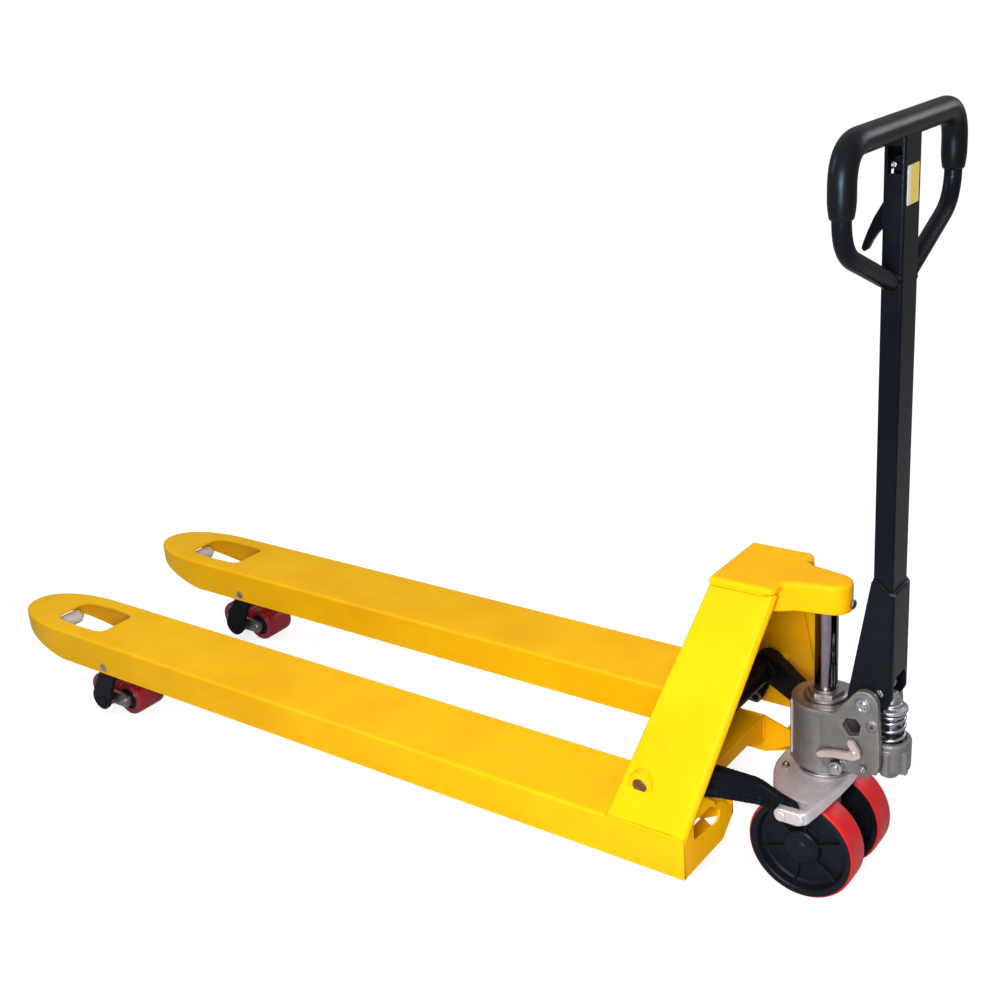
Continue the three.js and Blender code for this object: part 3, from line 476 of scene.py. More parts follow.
def piece(made, finish, body, nodes=()):
    """Gives an object its material, the CAD nodes it stands for and the body it rides on."""
    made.data.materials.clear()
    made.data.materials.append(MATERIALS[finish])
    if nodes:
        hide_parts(*nodes)
    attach(made, body)
    return made


def make(name, shells, finish, body, nodes=(), bevel=0.0, angle=35, segments=3):
    made = loose(name, shells)
    shade(made, angle, bevel, segments)
    return piece(made, finish, body, nodes)


def flipped(made, name):
    """The mirror image of a left-hand object, on the right side."""
    other = bpy.data.objects.new(name, made.data.copy())
    bpy.context.scene.collection.objects.link(other)
    other.data.transform(Matrix.Scale(-1, 4, (0, 1, 0)))
    other.data.flip_normals()
    return other


COPIED_SETTINGS = ("width", "segments", "limit_method", "angle_limit", "use_clamp_overlap", "miter_outer",
                   "keep_sharp", "weight")


def mirror(made, name, finish, body, nodes=()):
    """A right-hand piece from a finished left one, with the same modifiers."""
    other = flipped(made, name)
    for modifier in made.modifiers:
        copy = other.modifiers.new(modifier.name, modifier.type)
        for key in COPIED_SETTINGS:
            if hasattr(modifier, key):
                setattr(copy, key, getattr(modifier, key))
    return piece(other, finish, body, nodes)


def make_pair(name, shells, finish, bodies, nodes=(), bevel=0.0, angle=35, segments=3):
    """A left piece and its mirror image. {side} in the names becomes left and right."""
    left = make(name.format(side="left"), shells, finish, bodies.format(side="left"),
                [n.format(side="left") for n in nodes], bevel, angle, segments)
    mirror(left, name.format(side="right"), finish, bodies.format(side="right"),
           [n.format(side="right") for n in nodes])


# ---------------------------------------------------------------- materials
NO_TINT = (1, 1, 1, 1)
BLUE_SHEEN = (0.50, 0.78, 1.0, 1)


class Nodes:
    """Adds and links the nodes of one tree."""

    def __init__(self, tree):
        self.tree = tree

    def add(self, kind, **values):
        node = self.tree.nodes.new(kind)
        for key, value in values.items():
            if key in node.inputs:
                node.inputs[key].default_value = value
            else:
                setattr(node, key, value)
        return node

    def feed(self, value, socket):
        """Links another node's output, or sets a plain value."""
        if isinstance(value, bpy.types.NodeSocket):
            self.tree.links.new(value, socket)
        else:
            socket.default_value = value

    def remap(self, value, low, high, to_low=0.0, to_high=1.0):
        ends = {"From Min": low, "From Max": high, "To Min": to_low, "To Max": to_high}
        node = self.add("ShaderNodeMapRange", **ends)
        self.feed(value, node.inputs["Value"])
        return node.outputs[0]


class Surface(Nodes):
    """The nodes of a new material, round one principled shader."""

    def __init__(self, name):
        self.material = bpy.data.materials.new(name)
        self.material.use_nodes = True
        super().__init__(self.material.node_tree)
        self.tree.nodes.clear()
        output = self.add("ShaderNodeOutputMaterial")
        self.shader = self.add("ShaderNodeBsdfPrincipled")
        self.feed(self.shader.outputs[0], output.inputs[0])
        self.place = self.add("ShaderNodeTexCoord").outputs["Object"]

    def stretched(self, scale):
        mapping = self.add("ShaderNodeMapping", Scale=scale)
        self.feed(self.place, mapping.inputs["Vector"])
        return mapping.outputs[0]

    def noise(self, scale, detail=3.0, roughness=0.55, vector=None):
        node = self.add("ShaderNodeTexNoise", Scale=scale, Detail=detail, Roughness=roughness)
        self.feed(vector or self.place, node.inputs["Vector"])
        return node.outputs["Fac"]

    def mix(self, factor, first, second):
        node = self.add("ShaderNodeMix", data_type="RGBA")
        self.feed(factor, node.inputs[0])
        for colour, socket in ((first, node.inputs[6]), (second, node.inputs[7])):
            self.feed((*colour, 1) if isinstance(colour, tuple) else colour, socket)
        return node.outputs[2]

    def maths(self, operation, first, second):
        node = self.add("ShaderNodeMath", operation=operation)
        self.feed(first, node.inputs[0])
        self.feed(second, node.inputs[1])
        return node.outputs[0]

    def crevices(self, distance):
        """1 in the open and 0 deep in corners."""
        return self.add("ShaderNodeAmbientOcclusion", samples=6, Distance=distance).outputs["AO"]

    def edges(self, radius):
        """1 along sharp outer and inner edges and 0 on flat faces."""
        bevel = self.add("ShaderNodeBevel", samples=4, Radius=radius)
        geometry = self.add("ShaderNodeNewGeometry")
        dot = self.add("ShaderNodeVectorMath", operation="DOT_PRODUCT")
        self.feed(bevel.outputs[0], dot.inputs[0])
        self.feed(geometry.outputs["Normal"], dot.inputs[1])
        return self.remap(dot.outputs["Value"], 0.995, 0.9)

    def bump(self, height, distance, under=None):
        node = self.add("ShaderNodeBump", Distance=distance)
        self.feed(height, node.inputs["Height"])
        if under is not None:
            self.feed(under, node.inputs["Normal"])
        return node.outputs[0]

    def set(self, **values):
        for key, value in values.items():
            self.feed(value, self.shader.inputs[key.replace("_", " ")])
        return self.material


def paint(name, light, dark, roughness, peel, dirt_and_shade, edge_wear_and_highlight, shine=0.5, tint=NO_TINT):
    """Powder coat: orange peel, faint clouds, a little dust with painted shade in corners, and thin edge wear
    that also paints a highlight along edges.
    """
    n = Surface(name)
    clouds = n.noise(7.0, 4.0)
    colour = n.mix(n.remap(clouds, 0.35, 0.65), light, dark)
    specks = n.remap(n.noise(650.0, 2.0), 0.66, 0.74, 0.0, 0.35)
    colour = n.mix(specks, colour, dark)
    # Painted shade: the colour darkens towards the dirt tint where the occlusion mask finds corners and gaps.
    corner = n.remap(n.crevices(0.012), 0.25, 0.75, 0.55, 0.0)
    colour = n.mix(corner, colour, dirt_and_shade)
    # Edge tint in patches along sharp edges: partly worn paint, partly a painted highlight on the edges.
    edge_wear_and_highlight_mask = n.maths("MULTIPLY", n.edges(0.0012), n.remap(n.noise(90.0, 5.0, 0.7), 0.60, 0.70, 0.0, 0.8))
    colour = n.mix(edge_wear_and_highlight_mask, colour, edge_wear_and_highlight)
    scratches = n.noise(60.0, 6.0, 0.7, n.stretched((0.25, 3.0, 1.4)))
    rough = n.remap(scratches, 0.3, 0.7, roughness - 0.05, roughness + 0.09)
    peel_bump = n.bump(n.noise(380.0, 2.0, 0.4), 0.0004 * peel)
    fine = n.bump(n.noise(1500.0, 2.0), 0.00008 * peel, under=peel_bump)
    return n.set(Base_Color=colour, Roughness=rough, Normal=fine, Specular_IOR_Level=shine,
                 Specular_Tint=tint)


def casting(name, light, dark, dirt_and_shade):
    """Sand-cast iron or steel under a thin clear coat: grains, shallow pits, corners darkened as painted
    shade and a painted highlight along the edges.
    """
    n = Surface(name)
    clouds = n.noise(38.0, 5.0, 0.6)
    colour = n.mix(n.remap(clouds, 0.3, 0.7), light, dark)
    grain = n.noise(1100.0, 3.0, 0.6)
    colour = n.mix(n.remap(grain, 0.45, 0.75, 0.0, 0.5), colour, dirt_and_shade)
    # Painted shade: the colour darkens towards the dirt tint where the occlusion mask finds corners.
    corner = n.remap(n.crevices(0.010), 0.3, 0.85, 0.75, 0.0)
    colour = n.mix(corner, colour, dirt_and_shade)
    # Painted highlight: sharp edges are lightened towards a pale grey.
    shine = n.maths("MULTIPLY", n.edges(0.0010), 0.6)
    colour = n.mix(shine, colour, (0.72, 0.69, 0.66))
    rough = n.remap(n.noise(240.0, 4.0), 0.3, 0.7, 0.36, 0.6)
    pits = n.bump(n.noise(420.0, 4.0, 0.65), 0.0009)
    grains = n.bump(grain, 0.00035, under=pits)
    return n.set(Base_Color=colour, Metallic=0.72, Roughness=rough, Coat_Weight=0.25, Coat_Roughness=0.25,
                 Normal=grains)


def metal(name, light, dark, rough, lines, depth, metallic=1.0, dirt_and_shade=(0.05, 0.045, 0.04), corner=0.6):
    """Turned, brushed or plated metal with fine lines along or round it and grime with painted shade in its
    corners.
    """
    n = Surface(name)
    scratches = n.noise(90.0, 6.0, 0.7, n.stretched(lines))
    stains = n.noise(45.0, 4.0, 0.6)
    colour = n.mix(n.remap(stains, 0.35, 0.7), light, dark)
    # Painted shade: the colour darkens towards the dirt tint where the occlusion mask finds corners.
    corner_shade_mask = n.remap(n.crevices(0.006), 0.3, 0.8, corner, 0.0)
    colour = n.mix(corner_shade_mask, colour, dirt_and_shade)
    blend = n.maths("ADD", n.maths("MULTIPLY", scratches, 0.6), n.maths("MULTIPLY", stains, 0.4))
    return n.set(Base_Color=colour, Metallic=metallic, Roughness=n.remap(blend, 0.3, 0.7, *rough),
                 Normal=n.bump(scratches, depth))


def moulded(name, light, dark, rough, grain, depth, dust_and_shade, dust_and_shade_amount=0.15, coat=0.0, scuff=None, shine=0.5,
            tint=NO_TINT):
    """Moulded plastic, rubber or polyurethane with a fine skin, dust and painted shade in corners, and
    scuffs.
    """
    n = Surface(name)
    clouds = n.noise(16.0, 4.0)
    colour = n.mix(n.remap(clouds, 0.3, 0.7), light, dark)
    # Corner tint from the occlusion mask: painted shade where the tint is darker than the plastic, dust where
    # it is lighter.
    colour = n.mix(n.remap(n.crevices(0.015), 0.2, 0.8, dust_and_shade_amount, 0.0), colour, dust_and_shade)
    marks = n.noise(70.0, 6.0, 0.75, n.stretched((1.0, 0.22, 1.0)))
    if scuff:
        colour = n.mix(n.remap(marks, 0.60, 0.74, 0.0, 0.55), colour, scuff)
    skin = n.bump(n.noise(grain, 3.0, 0.6), depth)
    return n.set(Base_Color=colour, Roughness=n.remap(marks, 0.3, 0.7, *rough), Coat_Weight=coat,
                 Coat_Roughness=0.22, Normal=skin, Specular_IOR_Level=shine, Specular_Tint=tint)


def label_film(name):
    """Plain two-tone film: a pale strip on the left and a yellow field, with no print."""
    n = Surface(name)
    split = n.add("ShaderNodeSeparateXYZ")
    n.feed(n.place, split.inputs[0])
    edge = -9.5 * MM
    field = n.remap(split.outputs["Y"], edge, edge + 0.3 * MM)
    colour = n.mix(field, (0.80, 0.88, 0.83), (0.96, 0.68, 0.07))
    faded = n.remap(n.noise(120.0, 4.0), 0.4, 0.7, 0.0, 0.3)
    colour = n.mix(faded, colour, (0.90, 0.84, 0.55))
    rough = n.remap(n.noise(300.0, 3.0), 0.3, 0.7, 0.35, 0.55)
    return n.set(Base_Color=colour, Roughness=rough, Normal=n.bump(n.noise(200.0, 2.0), 0.0001))


RECIPES = {
    "frame_paint": (paint, dict(
        light=(0.97, 0.50, 0.002), dark=(0.90, 0.43, 0.0015), roughness=0.36, peel=1.0,
        dirt_and_shade=(0.46, 0.17, 0.006), edge_wear_and_highlight=(0.75, 0.42, 0.05), shine=0.09)),
    "handle_paint": (paint, dict(
        light=(0.004, 0.004, 0.007), dark=(0.007, 0.007, 0.010), roughness=0.24, peel=0.8,
        dirt_and_shade=(0.014, 0.013, 0.012), edge_wear_and_highlight=(0.08, 0.08, 0.085), shine=0.10, tint=BLUE_SHEEN)),
    "grip_rubber": (moulded, dict(
        light=(0.007, 0.0065, 0.008), dark=(0.005, 0.005, 0.006), rough=(0.24, 0.38), grain=900.0,
        depth=0.00015, dust_and_shade=(0.03, 0.025, 0.025), shine=0.16, tint=BLUE_SHEEN)),
    "pump_casting": (casting, dict(
        light=(0.27, 0.26, 0.255), dark=(0.19, 0.184, 0.18), dirt_and_shade=(0.06, 0.057, 0.054))),
    "carriage_casting": (casting, dict(
        light=(0.90, 0.86, 0.91), dark=(0.75, 0.71, 0.75), dirt_and_shade=(0.26, 0.23, 0.23))),
    "chrome_plate": (metal, dict(
        light=(0.25, 0.215, 0.25), dark=(0.19, 0.165, 0.20), rough=(0.06, 0.15), lines=(6.0, 6.0, 0.3),
        depth=0.00003)),
    "zinc_plate": (metal, dict(
        light=(0.50, 0.52, 0.56), dark=(0.36, 0.38, 0.42), rough=(0.22, 0.36), lines=(0.7, 0.7, 0.7),
        depth=0.00003, dirt_and_shade=(0.03, 0.028, 0.026), corner=0.9)),
    "bare_steel": (metal, dict(
        light=(0.46, 0.44, 0.44), dark=(0.32, 0.29, 0.28), rough=(0.28, 0.50), lines=(3.0, 3.0, 1.0),
        depth=0.0002)),
    "release_steel": (metal, dict(
        light=(0.66, 0.56, 0.55), dark=(0.52, 0.43, 0.41), rough=(0.35, 0.55), lines=(3.0, 3.0, 3.0),
        depth=0.0002, metallic=0.7)),
    "shaft_steel": (metal, dict(
        light=(0.26, 0.11, 0.055), dark=(0.15, 0.065, 0.035), rough=(0.35, 0.6), lines=(3.0, 3.0, 3.0),
        depth=0.0003, metallic=0.7)),
    "wheel_polyurethane": (moulded, dict(
        light=(0.64, 0.012, 0.016), dark=(0.46, 0.009, 0.013), rough=(0.30, 0.48), grain=500.0,
        depth=0.00025, dust_and_shade=(0.16, 0.02, 0.02), coat=0.08, scuff=(0.34, 0.02, 0.025), shine=0.3)),
    "roller_polyurethane": (moulded, dict(
        light=(0.34, 0.008, 0.020), dark=(0.20, 0.006, 0.017), rough=(0.22, 0.38), grain=420.0,
        depth=0.0003, dust_and_shade=(0.08, 0.02, 0.035), coat=0.3, scuff=(0.22, 0.08, 0.13))),
    "entry_nylon": (moulded, dict(
        light=(0.78, 0.78, 0.77), dark=(0.68, 0.67, 0.65), rough=(0.38, 0.55), grain=600.0,
        depth=0.0002, dust_and_shade=(0.40, 0.37, 0.32), dust_and_shade_amount=0.4)),
    "hub_plastic": (moulded, dict(
        light=(0.0075, 0.0085, 0.013), dark=(0.0045, 0.005, 0.0075), rough=(0.26, 0.44), grain=700.0,
        depth=0.0003, dust_and_shade=(0.016, 0.016, 0.018), dust_and_shade_amount=0.5, shine=0.2, tint=BLUE_SHEEN)),
    "label_film": (label_film, {}),
}
MATERIALS = {name: recipe(name, **values) for name, (recipe, values) in RECIPES.items()}


# ---------------------------------------------------------------- forks
FORK_REAR = BACKREST_X + 2
HEEL_STEP_X = -160  # where the heel's floor begins
HEEL_STEP_Z = 147
NOSE_FALL_X = -1614
NOSE_RISE = 39


def nose_outline(gap, steps=44):
    """The blade's plan round its nose, `gap` inside its faces: a superellipse."""
    half = FORK_HALF - gap
    length = NOSE_LENGTH - gap
    start = FORK_LOW.x + NOSE_LENGTH
    power = 2 / 2.2
    points = []
    for i in range(steps + 1):
        a = math.pi * i / steps - math.pi / 2
        along = abs(math.cos(a)) ** power
        across = math.copysign(abs(math.sin(a)) ** power, math.sin(a))
        points.append((start - length * along, FORK_Y + half * across))
    return points


def window_outline():
    """The opening above the load rollers."""
    half = [(-1666, -30), (-1658, -38), (-1640, -44), (-1590, -47), (-1535, -45), (-1518, -42), (-1510, -34)]
    return rounded([(x, FORK_Y + y) for x, y in symmetric(half)], 16, steps=6)


def underside(x):
    """Height of the side wall's lower edge: it rises towards the tip."""
    share = min(1.0, max(0.0, (NOSE_FALL_X - x) / (NOSE_FALL_X - FORK_LOW.x)))
    return FORK_BOTTOM + NOSE_RISE * share ** 1.15


def under_nose(steps=12):
    """The wedge that makes the blade shallower towards its tip."""
    tip = FORK_LOW.x - 5
    below = FORK_BOTTOM - 5
    edge = [(x, underside(x)) for x in (tip + (NOSE_FALL_X - tip) * k / steps for k in range(steps + 1))]
    outline = [(tip, below), (NOSE_FALL_X, below), *reversed(edge)]
    return extrude("y", outline, OUTER_Y - 10, INNER_Y + 10)


def build_blade():
    """Pressed channel: side walls, rolled upper edges and the top with its window."""
    def plan(gap, end):
        return [(end, OUTER_Y + gap), *nose_outline(gap), (end, INNER_Y - gap)]

    blade = loose("fork_blade_left", [slab(plan(0, FORK_REAR), FORK_BOTTOM, FORK_TOP, 0, 6.5, steps=6)])
    carve(blade, slab(plan(SHEET, FORK_REAR + 5), FORK_BOTTOM - 5, FORK_TOP - SHEET, 0, 3.0),
          extrude("z", window_outline(), FORK_TOP - 20, FORK_TOP + 5), under_nose())
    shade(blade, angle=30, bevel=0.7, segments=2)
    piece(blade, "frame_paint", "chassis", ["fork_left"])
    mirror(blade, "fork_blade_right", "frame_paint", "chassis", ["fork_right"])


def heel_shells():
    """The fork's rear end: two side walls, a floor and a front wall with an open window."""
    web = slab(box_outline(FORK_REAR, HEEL_X, FORK_BOTTOM, FORK_TOP), OUTER_Y, OUTER_Y + SHEET, axis="y")
    inside = [(FORK_REAR, FORK_BOTTOM), (HEEL_STEP_X, FORK_BOTTOM), (HEEL_X - 4, HEEL_STEP_Z),
              (HEEL_X, HEEL_STEP_Z), (HEEL_X, 170), (HEEL_X - 4, 172), (-165, FORK_TOP),
              (FORK_REAR, FORK_TOP)]
    front = rounded([(OUTER_Y + 2, FORK_BOTTOM), (-150, FORK_BOTTOM), (INNER_Y - 1, HEEL_STEP_Z),
                     (INNER_Y - 1, 165), (-131, 171), (-146, 188), (-168, 191), (-178, 206), (-208, 230),
                     (-236, 246), (OUTER_Y + 4, FORK_TOP)], [2, 8, 5, 5, 8, 8, 8, 8, 8, 4, 2])
    window = rounded([(-242, 176), (-236, 168), (-170, 160), (-160, 166), (-158, 180), (-188, 202),
                      (-236, 206), (-243, 200)], 7)
    floor = [(HEEL_STEP_X, OUTER_Y + 2), (HEEL_X - 1, OUTER_Y + 2), (HEEL_X - 1, -150),
             (HEEL_STEP_X, INNER_Y - 2)]
    return [
        web,
        extrude("y", inside, INNER_Y - SHEET, INNER_Y),
        extrude("x", front, HEEL_X - SHEET, HEEL_X, [window]),
        extrude("z", floor, FORK_BOTTOM, FORK_BOTTOM + 3),
    ]


def lug_shells():
    """Bosses for the roller frame's pin and brackets for the entry roller."""
    shells = []
    for low, high in ((OUTER_Y - 0.6, OUTER_Y + SHEET + 1), (INNER_Y - SHEET - 1, INNER_Y + 0.6)):
        shells.append(collar("y", 7.6, 15, low, high, PIVOT, 0.8, 40))
    bracket = rounded([(-9, 0), (-9, 36.5), (9, 36.5), (9, 0), (6, -7), (-6, -7)], 2)
    outline = [(ENTRY[0] + x, ENTRY[1] + z) for x, z in bracket]
    return shells + [plate_at(outline, FORK_Y + side, 2) for side in (-39, 39)]


def build_forks():
    build_blade()
    make_pair("fork_heel_{side}", heel_shells(), "frame_paint", "chassis", bevel=1.4, angle=30)
    make_pair("fork_lugs_{side}", lug_shells(), "frame_paint", "chassis", bevel=0.5)
    corner_x, corner_y = HEEL_X - 4.5, OUTER_Y + 3
    joint_x, joint_z = BACKREST_X - 1, FORK_TOP + 0.6
    seams = [
        weld([(corner_x, corner_y, FORK_TOP - 4), (corner_x, corner_y, FORK_BOTTOM + 4)], 1.2, 5),
        weld([(joint_x, OUTER_Y + 10, joint_z), (joint_x, INNER_Y - 8, joint_z)], 2.4, 8),
    ]
    make_pair("fork_welds_{side}", seams, "frame_paint", "chassis", angle=60)


def build_entry_rollers():
    half = [(CORE, -39), (4, -39), (4, -36), (8, -36), (8, -34.5), (13.5, -34.5), (15, -32)]
    roller = turned("y", shifted(symmetric(half), FORK_Y), ENTRY, 0.8, 56)
    make_pair("entry_roller_turned_{side}", [roller], "entry_nylon", "entry_roller_{side}_body",
              ["entry_roller_{side}"])
    pin = [(CORE, OUTER_Y - 3.6), (5.5, OUTER_Y - 3.6), (9, OUTER_Y - 1.4), (9, OUTER_Y - 0.7),
           (7, OUTER_Y - 0.7), (7, INNER_Y + 0.8), (9, INNER_Y + 0.8), (9, INNER_Y + 1.8),
           (5.5, INNER_Y + 3.6), (CORE, INNER_Y + 3.6)]
    make_pair("roller_frame_pin_turned_{side}", [turned("y", pin, PIVOT, 0.8, 40)], "zinc_plate", "chassis",
              ["roller_frame_pin_{side}"])


# ---------------------------------------------------------------- lifting frame
SLOPE = (FRAME_TOP - FORK_TOP) / math.cos(LEAN)  # length of the side plate, up its slope
RAM_SCREW = (0, 500)


def slope_point(x, v, a=0.0):
    """A point on the left side plate: v up from the fork's outer upper edge and a out of its face."""
    up = Vector((0, math.sin(LEAN), math.cos(LEAN)))
    out = Vector((0, -math.cos(LEAN), math.sin(LEAN)))
    return tuple(Vector((x, OUTER_Y, FORK_TOP)) + up * v + out * a)


def sloped_plate(outline, thickness, edge):
    points, faces = slab(outline, -thickness, 0, edge, edge)
    return [slope_point(*p) for p in points], faces


def build_side_plates():
    face = rounded([(-243.6, 0.5), (HEEL_X - 8, 0.5), (-60, SLOPE - 1), (-161, SLOPE - 1)], [1, 1, 3, 3])
    lip = rounded([(HEEL_X - 26, -6), (HEEL_X + 0.5, -6), (HEEL_X + 3, 20), (-50.5, SLOPE + 4),
                   (-82, SLOPE + 4)], 3)
    left = loose("side_plate_pressed_left", [sloped_plate(face, 9.0, 3.6), sloped_plate(lip, 20.0, 9.5)])
    fuse(left, voxel=1.6, smoothing=3)
    shade(left, angle=40)
    piece(left, "frame_paint", "chassis", ["side_plate_left"])
    mirror(left, "side_plate_pressed_right", "frame_paint", "chassis", ["side_plate_right"])
    ring = [(12.6, -248), (21, -246.5), (24.5, -226), (12.6, -226)]
    make_pair("shaft_collar_{side}", [turned_ring("y", ring, ROCKER, 2.2, 56)], "frame_paint", "chassis",
              angle=50)
    seams = [
        weld([slope_point(-240, 0.5, 0.6), slope_point(HEEL_X - 2, 0.5, 0.6)], 2.2, 1),
        weld([slope_point(-160, SLOPE - 1, 0.8), slope_point(-66, SLOPE - 1, 0.8)], 2.0, 3),
    ]
    make_pair("side_plate_welds_{side}", seams, "frame_paint", "chassis", angle=60)


def build_head():
    """Cap over the side plates with a hollow nose that sits on the ram."""
    cap = rounded(symmetric([(-163, -77), (-58, -77), (-52, -70)]), [7, 4, 6, 6, 4, 7])
    cap_shell = slab(cap, FRAME_TOP + 0.3, HEAD_TOP, 0.5, 7.0, steps=6)
    flank = rounded([(-150, -60), (-78, -61), (-60, -53), (-36, -37.5)], [0, 6, 10, 0], closed=False)
    nose = slab(flank + arc((12, 0), 28, -78, 78, 20) + mirrored(flank), 487, HEAD_TOP, 2.0, 7.5, steps=6)
    made = loose("head_casting", [cap_shell, nose])
    below = [(-175, 400), (-175, FRAME_TOP), (-147, 522), (-118, 484), (-90, 484), (-90, 400)]
    carve(made, extrude("y", below, -100, 100))
    fuse(made, voxel=1.5, smoothing=5)
    pocket = rounded(symmetric([(-140, -52), (-80, -52), (-56, -43), (-36, -29), (-26, -27)]), 5)
    carve(made, extrude("z", pocket, 470, 526), hole("z", 18.5, 470, 507, segments=48, edge=0.2),
          hole("x", 4.6, 18, 60, RAM_SCREW, 24, 0.2))
    shade(made, angle=40)
    piece(made, "frame_paint", "chassis", ["head_plate"])


def build_shafts():
    """The ram, the screw that holds it in the head, and the rocker's shaft."""
    ram = [(CORE, 251), (18, 251), (18, 505), (17, 506), (CORE, 506)]
    make("ram_turned", [turned("z", ram, edge=0.6, segments=96)], "chrome_plate", "chassis", ["ram"])
    screw = [rod("x", 4, 20.5, 41, RAM_SCREW, 0.4, 24), hex_head("x", 6.5, 40.7, 45.4, RAM_SCREW)]
    make("ram_screw_hex", screw, "zinc_plate", "chassis", ["ram_screw"])
    shaft = symmetric([(CORE, -247.2), (3, -245.5), (4, -247.6), (10.6, -247.8), (12, -246)])
    make("rocker_shaft_turned", [turned("y", shaft, ROCKER, 0.7, 56)], "shaft_steel", "chassis",
         ["rocker_shaft"])


def build_frame():
    build_side_plates()
    keep_cad("back_plate", "frame_paint", 1.5)
    keep_cad("cross_member", "frame_paint", 1.6)
    seams = []
    for y in (INNER_Y + 1, -INNER_Y - 1):
        seams.append(weld([(BACKREST_X + 3, y, FORK_TOP + 0.3), (-166, y, FORK_TOP + 0.3)], 2.2, 6))
        seams.append(weld([(-164.4, y, FORK_TOP - 1), (-164.4, y, 140)], 2.2, 7))
    across = [(-164, INNER_Y + 1, FORK_TOP - 0.6), (-164, -INNER_Y - 1, FORK_TOP - 0.6)]
    seams.append(weld(across, 1.5, 9))
    make("cross_member_welds", seams, "frame_paint", "chassis", angle=60)
    build_head()
    build_shafts()


# ---------------------------------------------------------------- rocker linkage
# The roller frame's turn over the whole lift gives the places of both push rod pins in the raised position.
SWING = math.atan2(PIVOT[1] - BOGIE[1], PIVOT[0] - BOGIE[0])
LIFT = next(j["range_m"][1] for j in frame["joints"] if j["name"] == "lift") / MM
FRAME_ARM = math.hypot(PIVOT[1] - BOGIE[1], PIVOT[0] - BOGIE[0])
FRAME_TURN = SWING + math.asin((LIFT - FRAME_ARM * math.sin(SWING)) / FRAME_ARM)
PUSH_REACH = 31.4
PUSH_PIN = (PIVOT[0] - PUSH_REACH * math.sin(FRAME_TURN / 2),
            PIVOT[1] + PUSH_REACH * math.cos(FRAME_TURN / 2))
LEVER = 65.7
LEVER_TILT = math.asin(PUSH_REACH * math.sin(FRAME_TURN / 2) / LEVER)
LEVER_PIN = (ROCKER[0] - LEVER * math.sin(LEVER_TILT), ROCKER[1] - LEVER * math.cos(LEVER_TILT))
EYE_HALF = 6  # half the travel of the thrust pin in its eye


def rocker_arm():
    """The left arm: its plan and its side view crossed, with a recess in its outer face."""
    across, tall = (-215, -110), (150, 300)
    plan = rounded([(-224, -209), (-185, -209), (-50, -132), (15, -132), (15, -118), (-52, -118),
                    (-192, -181), (-224, -181)], [4, 14, 22, 3, 3, 22, 14, 4])
    hub = arc(ROCKER, 27, 75, 285, 26)
    end = arc((THRUST_PIN[0] + 3, THRUST_PIN[1]), 17, -120, 75, 20)
    side = [*hub, (-150, 209), (-105, 202), (-50, 189), *end, (-20, 216), (-64, 236), (-109, 251),
            (-150, 263)]
    arm = loose("rocker_casting", [extrude("z", plan, *tall)])
    combine(arm, [extrude("y", side, *across)], "INTERSECT")
    web = [(-150, 219), (-105, 211), (-50, 198), (-30, 197), (-30, 206), (-64, 222), (-109, 238), (-150, 250)]
    outer_face = [(-172, -214), (-172, -196.6), (-50, -126.5), (-34, -126.5), (-34, -214)]
    recess = loose("recess", [extrude("y", rounded(web, 6), *across)])
    combine(recess, [extrude("z", outer_face, *tall)], "INTERSECT")
    return combine_with(arm, recess)


def build_rocker():
    arm = rocker_arm()
    hub = [(CORE, -214), (26, -214), (27.5, -211), (27.5, -182), (22, -176), (CORE, -176)]
    join_into(arm, loose("extra", [
        turned("y", hub, ROCKER, 1.5, 56),
        plate_at(link(ROCKER, 20, LEVER_PIN, 11), FORK_Y, 6),
        rod("y", 6, FORK_Y - 13, FORK_Y + 13, LEVER_PIN),
    ]))
    join_into(arm, flipped(arm, "rocker_arm_right"))
    join_into(arm, loose("tube", [rod("y", 20, -190, 190, ROCKER, 0.5, 56)]))
    fuse(arm, voxel=1.7, smoothing=4)
    x, z = THRUST_PIN
    eye = link((x - EYE_HALF, z), 10.5, (x + EYE_HALF, z), 10.5)
    carve(arm, hole("y", 12.5, -230, 230, ROCKER, 48), extrude("y", eye, -140, -100),
          extrude("y", eye, 140, 100))
    shade(arm, angle=40)
    piece(arm, "handle_paint", "rocker_arm", ["rocker"])


def build_push_rods():
    top = (PUSH_PIN[0], PUSH_PIN[1] + 9.5)
    front = Vector((PUSH_PIN[0] + 10, FORK_Y, PUSH_PIN[1]))
    x, z = LEVER_PIN
    rear = Vector((x - 30, FORK_Y, z))
    shells = [
        plate_at(link(PUSH_PIN, 11.5, top, 11.5), FORK_Y, 7, [link(PUSH_PIN, 7, top, 7)]),
        sweep([front.lerp(rear, k / 20) for k in range(21)], 6.4, 32),
        rod("x", 9.5, x - 62, x - 44, (FORK_Y, z), 1.0, 6),
    ]
    cheek = link(LEVER_PIN, 10.5, (x - 34, z - 0.5), 7)
    shells += [plate_at(cheek, FORK_Y + side, 3, [bore(LEVER_PIN, 6.6)]) for side in (-9.5, 9.5)]
    shells.append(block([x - 46, x - 24], [FORK_Y - 12.5, FORK_Y + 12.5], [z - 7, z + 6]))
    make_pair("push_rod_forged_{side}", shells, "bare_steel", "push_rod_{side}_body", ["push_rod_{side}"],
              0.8)


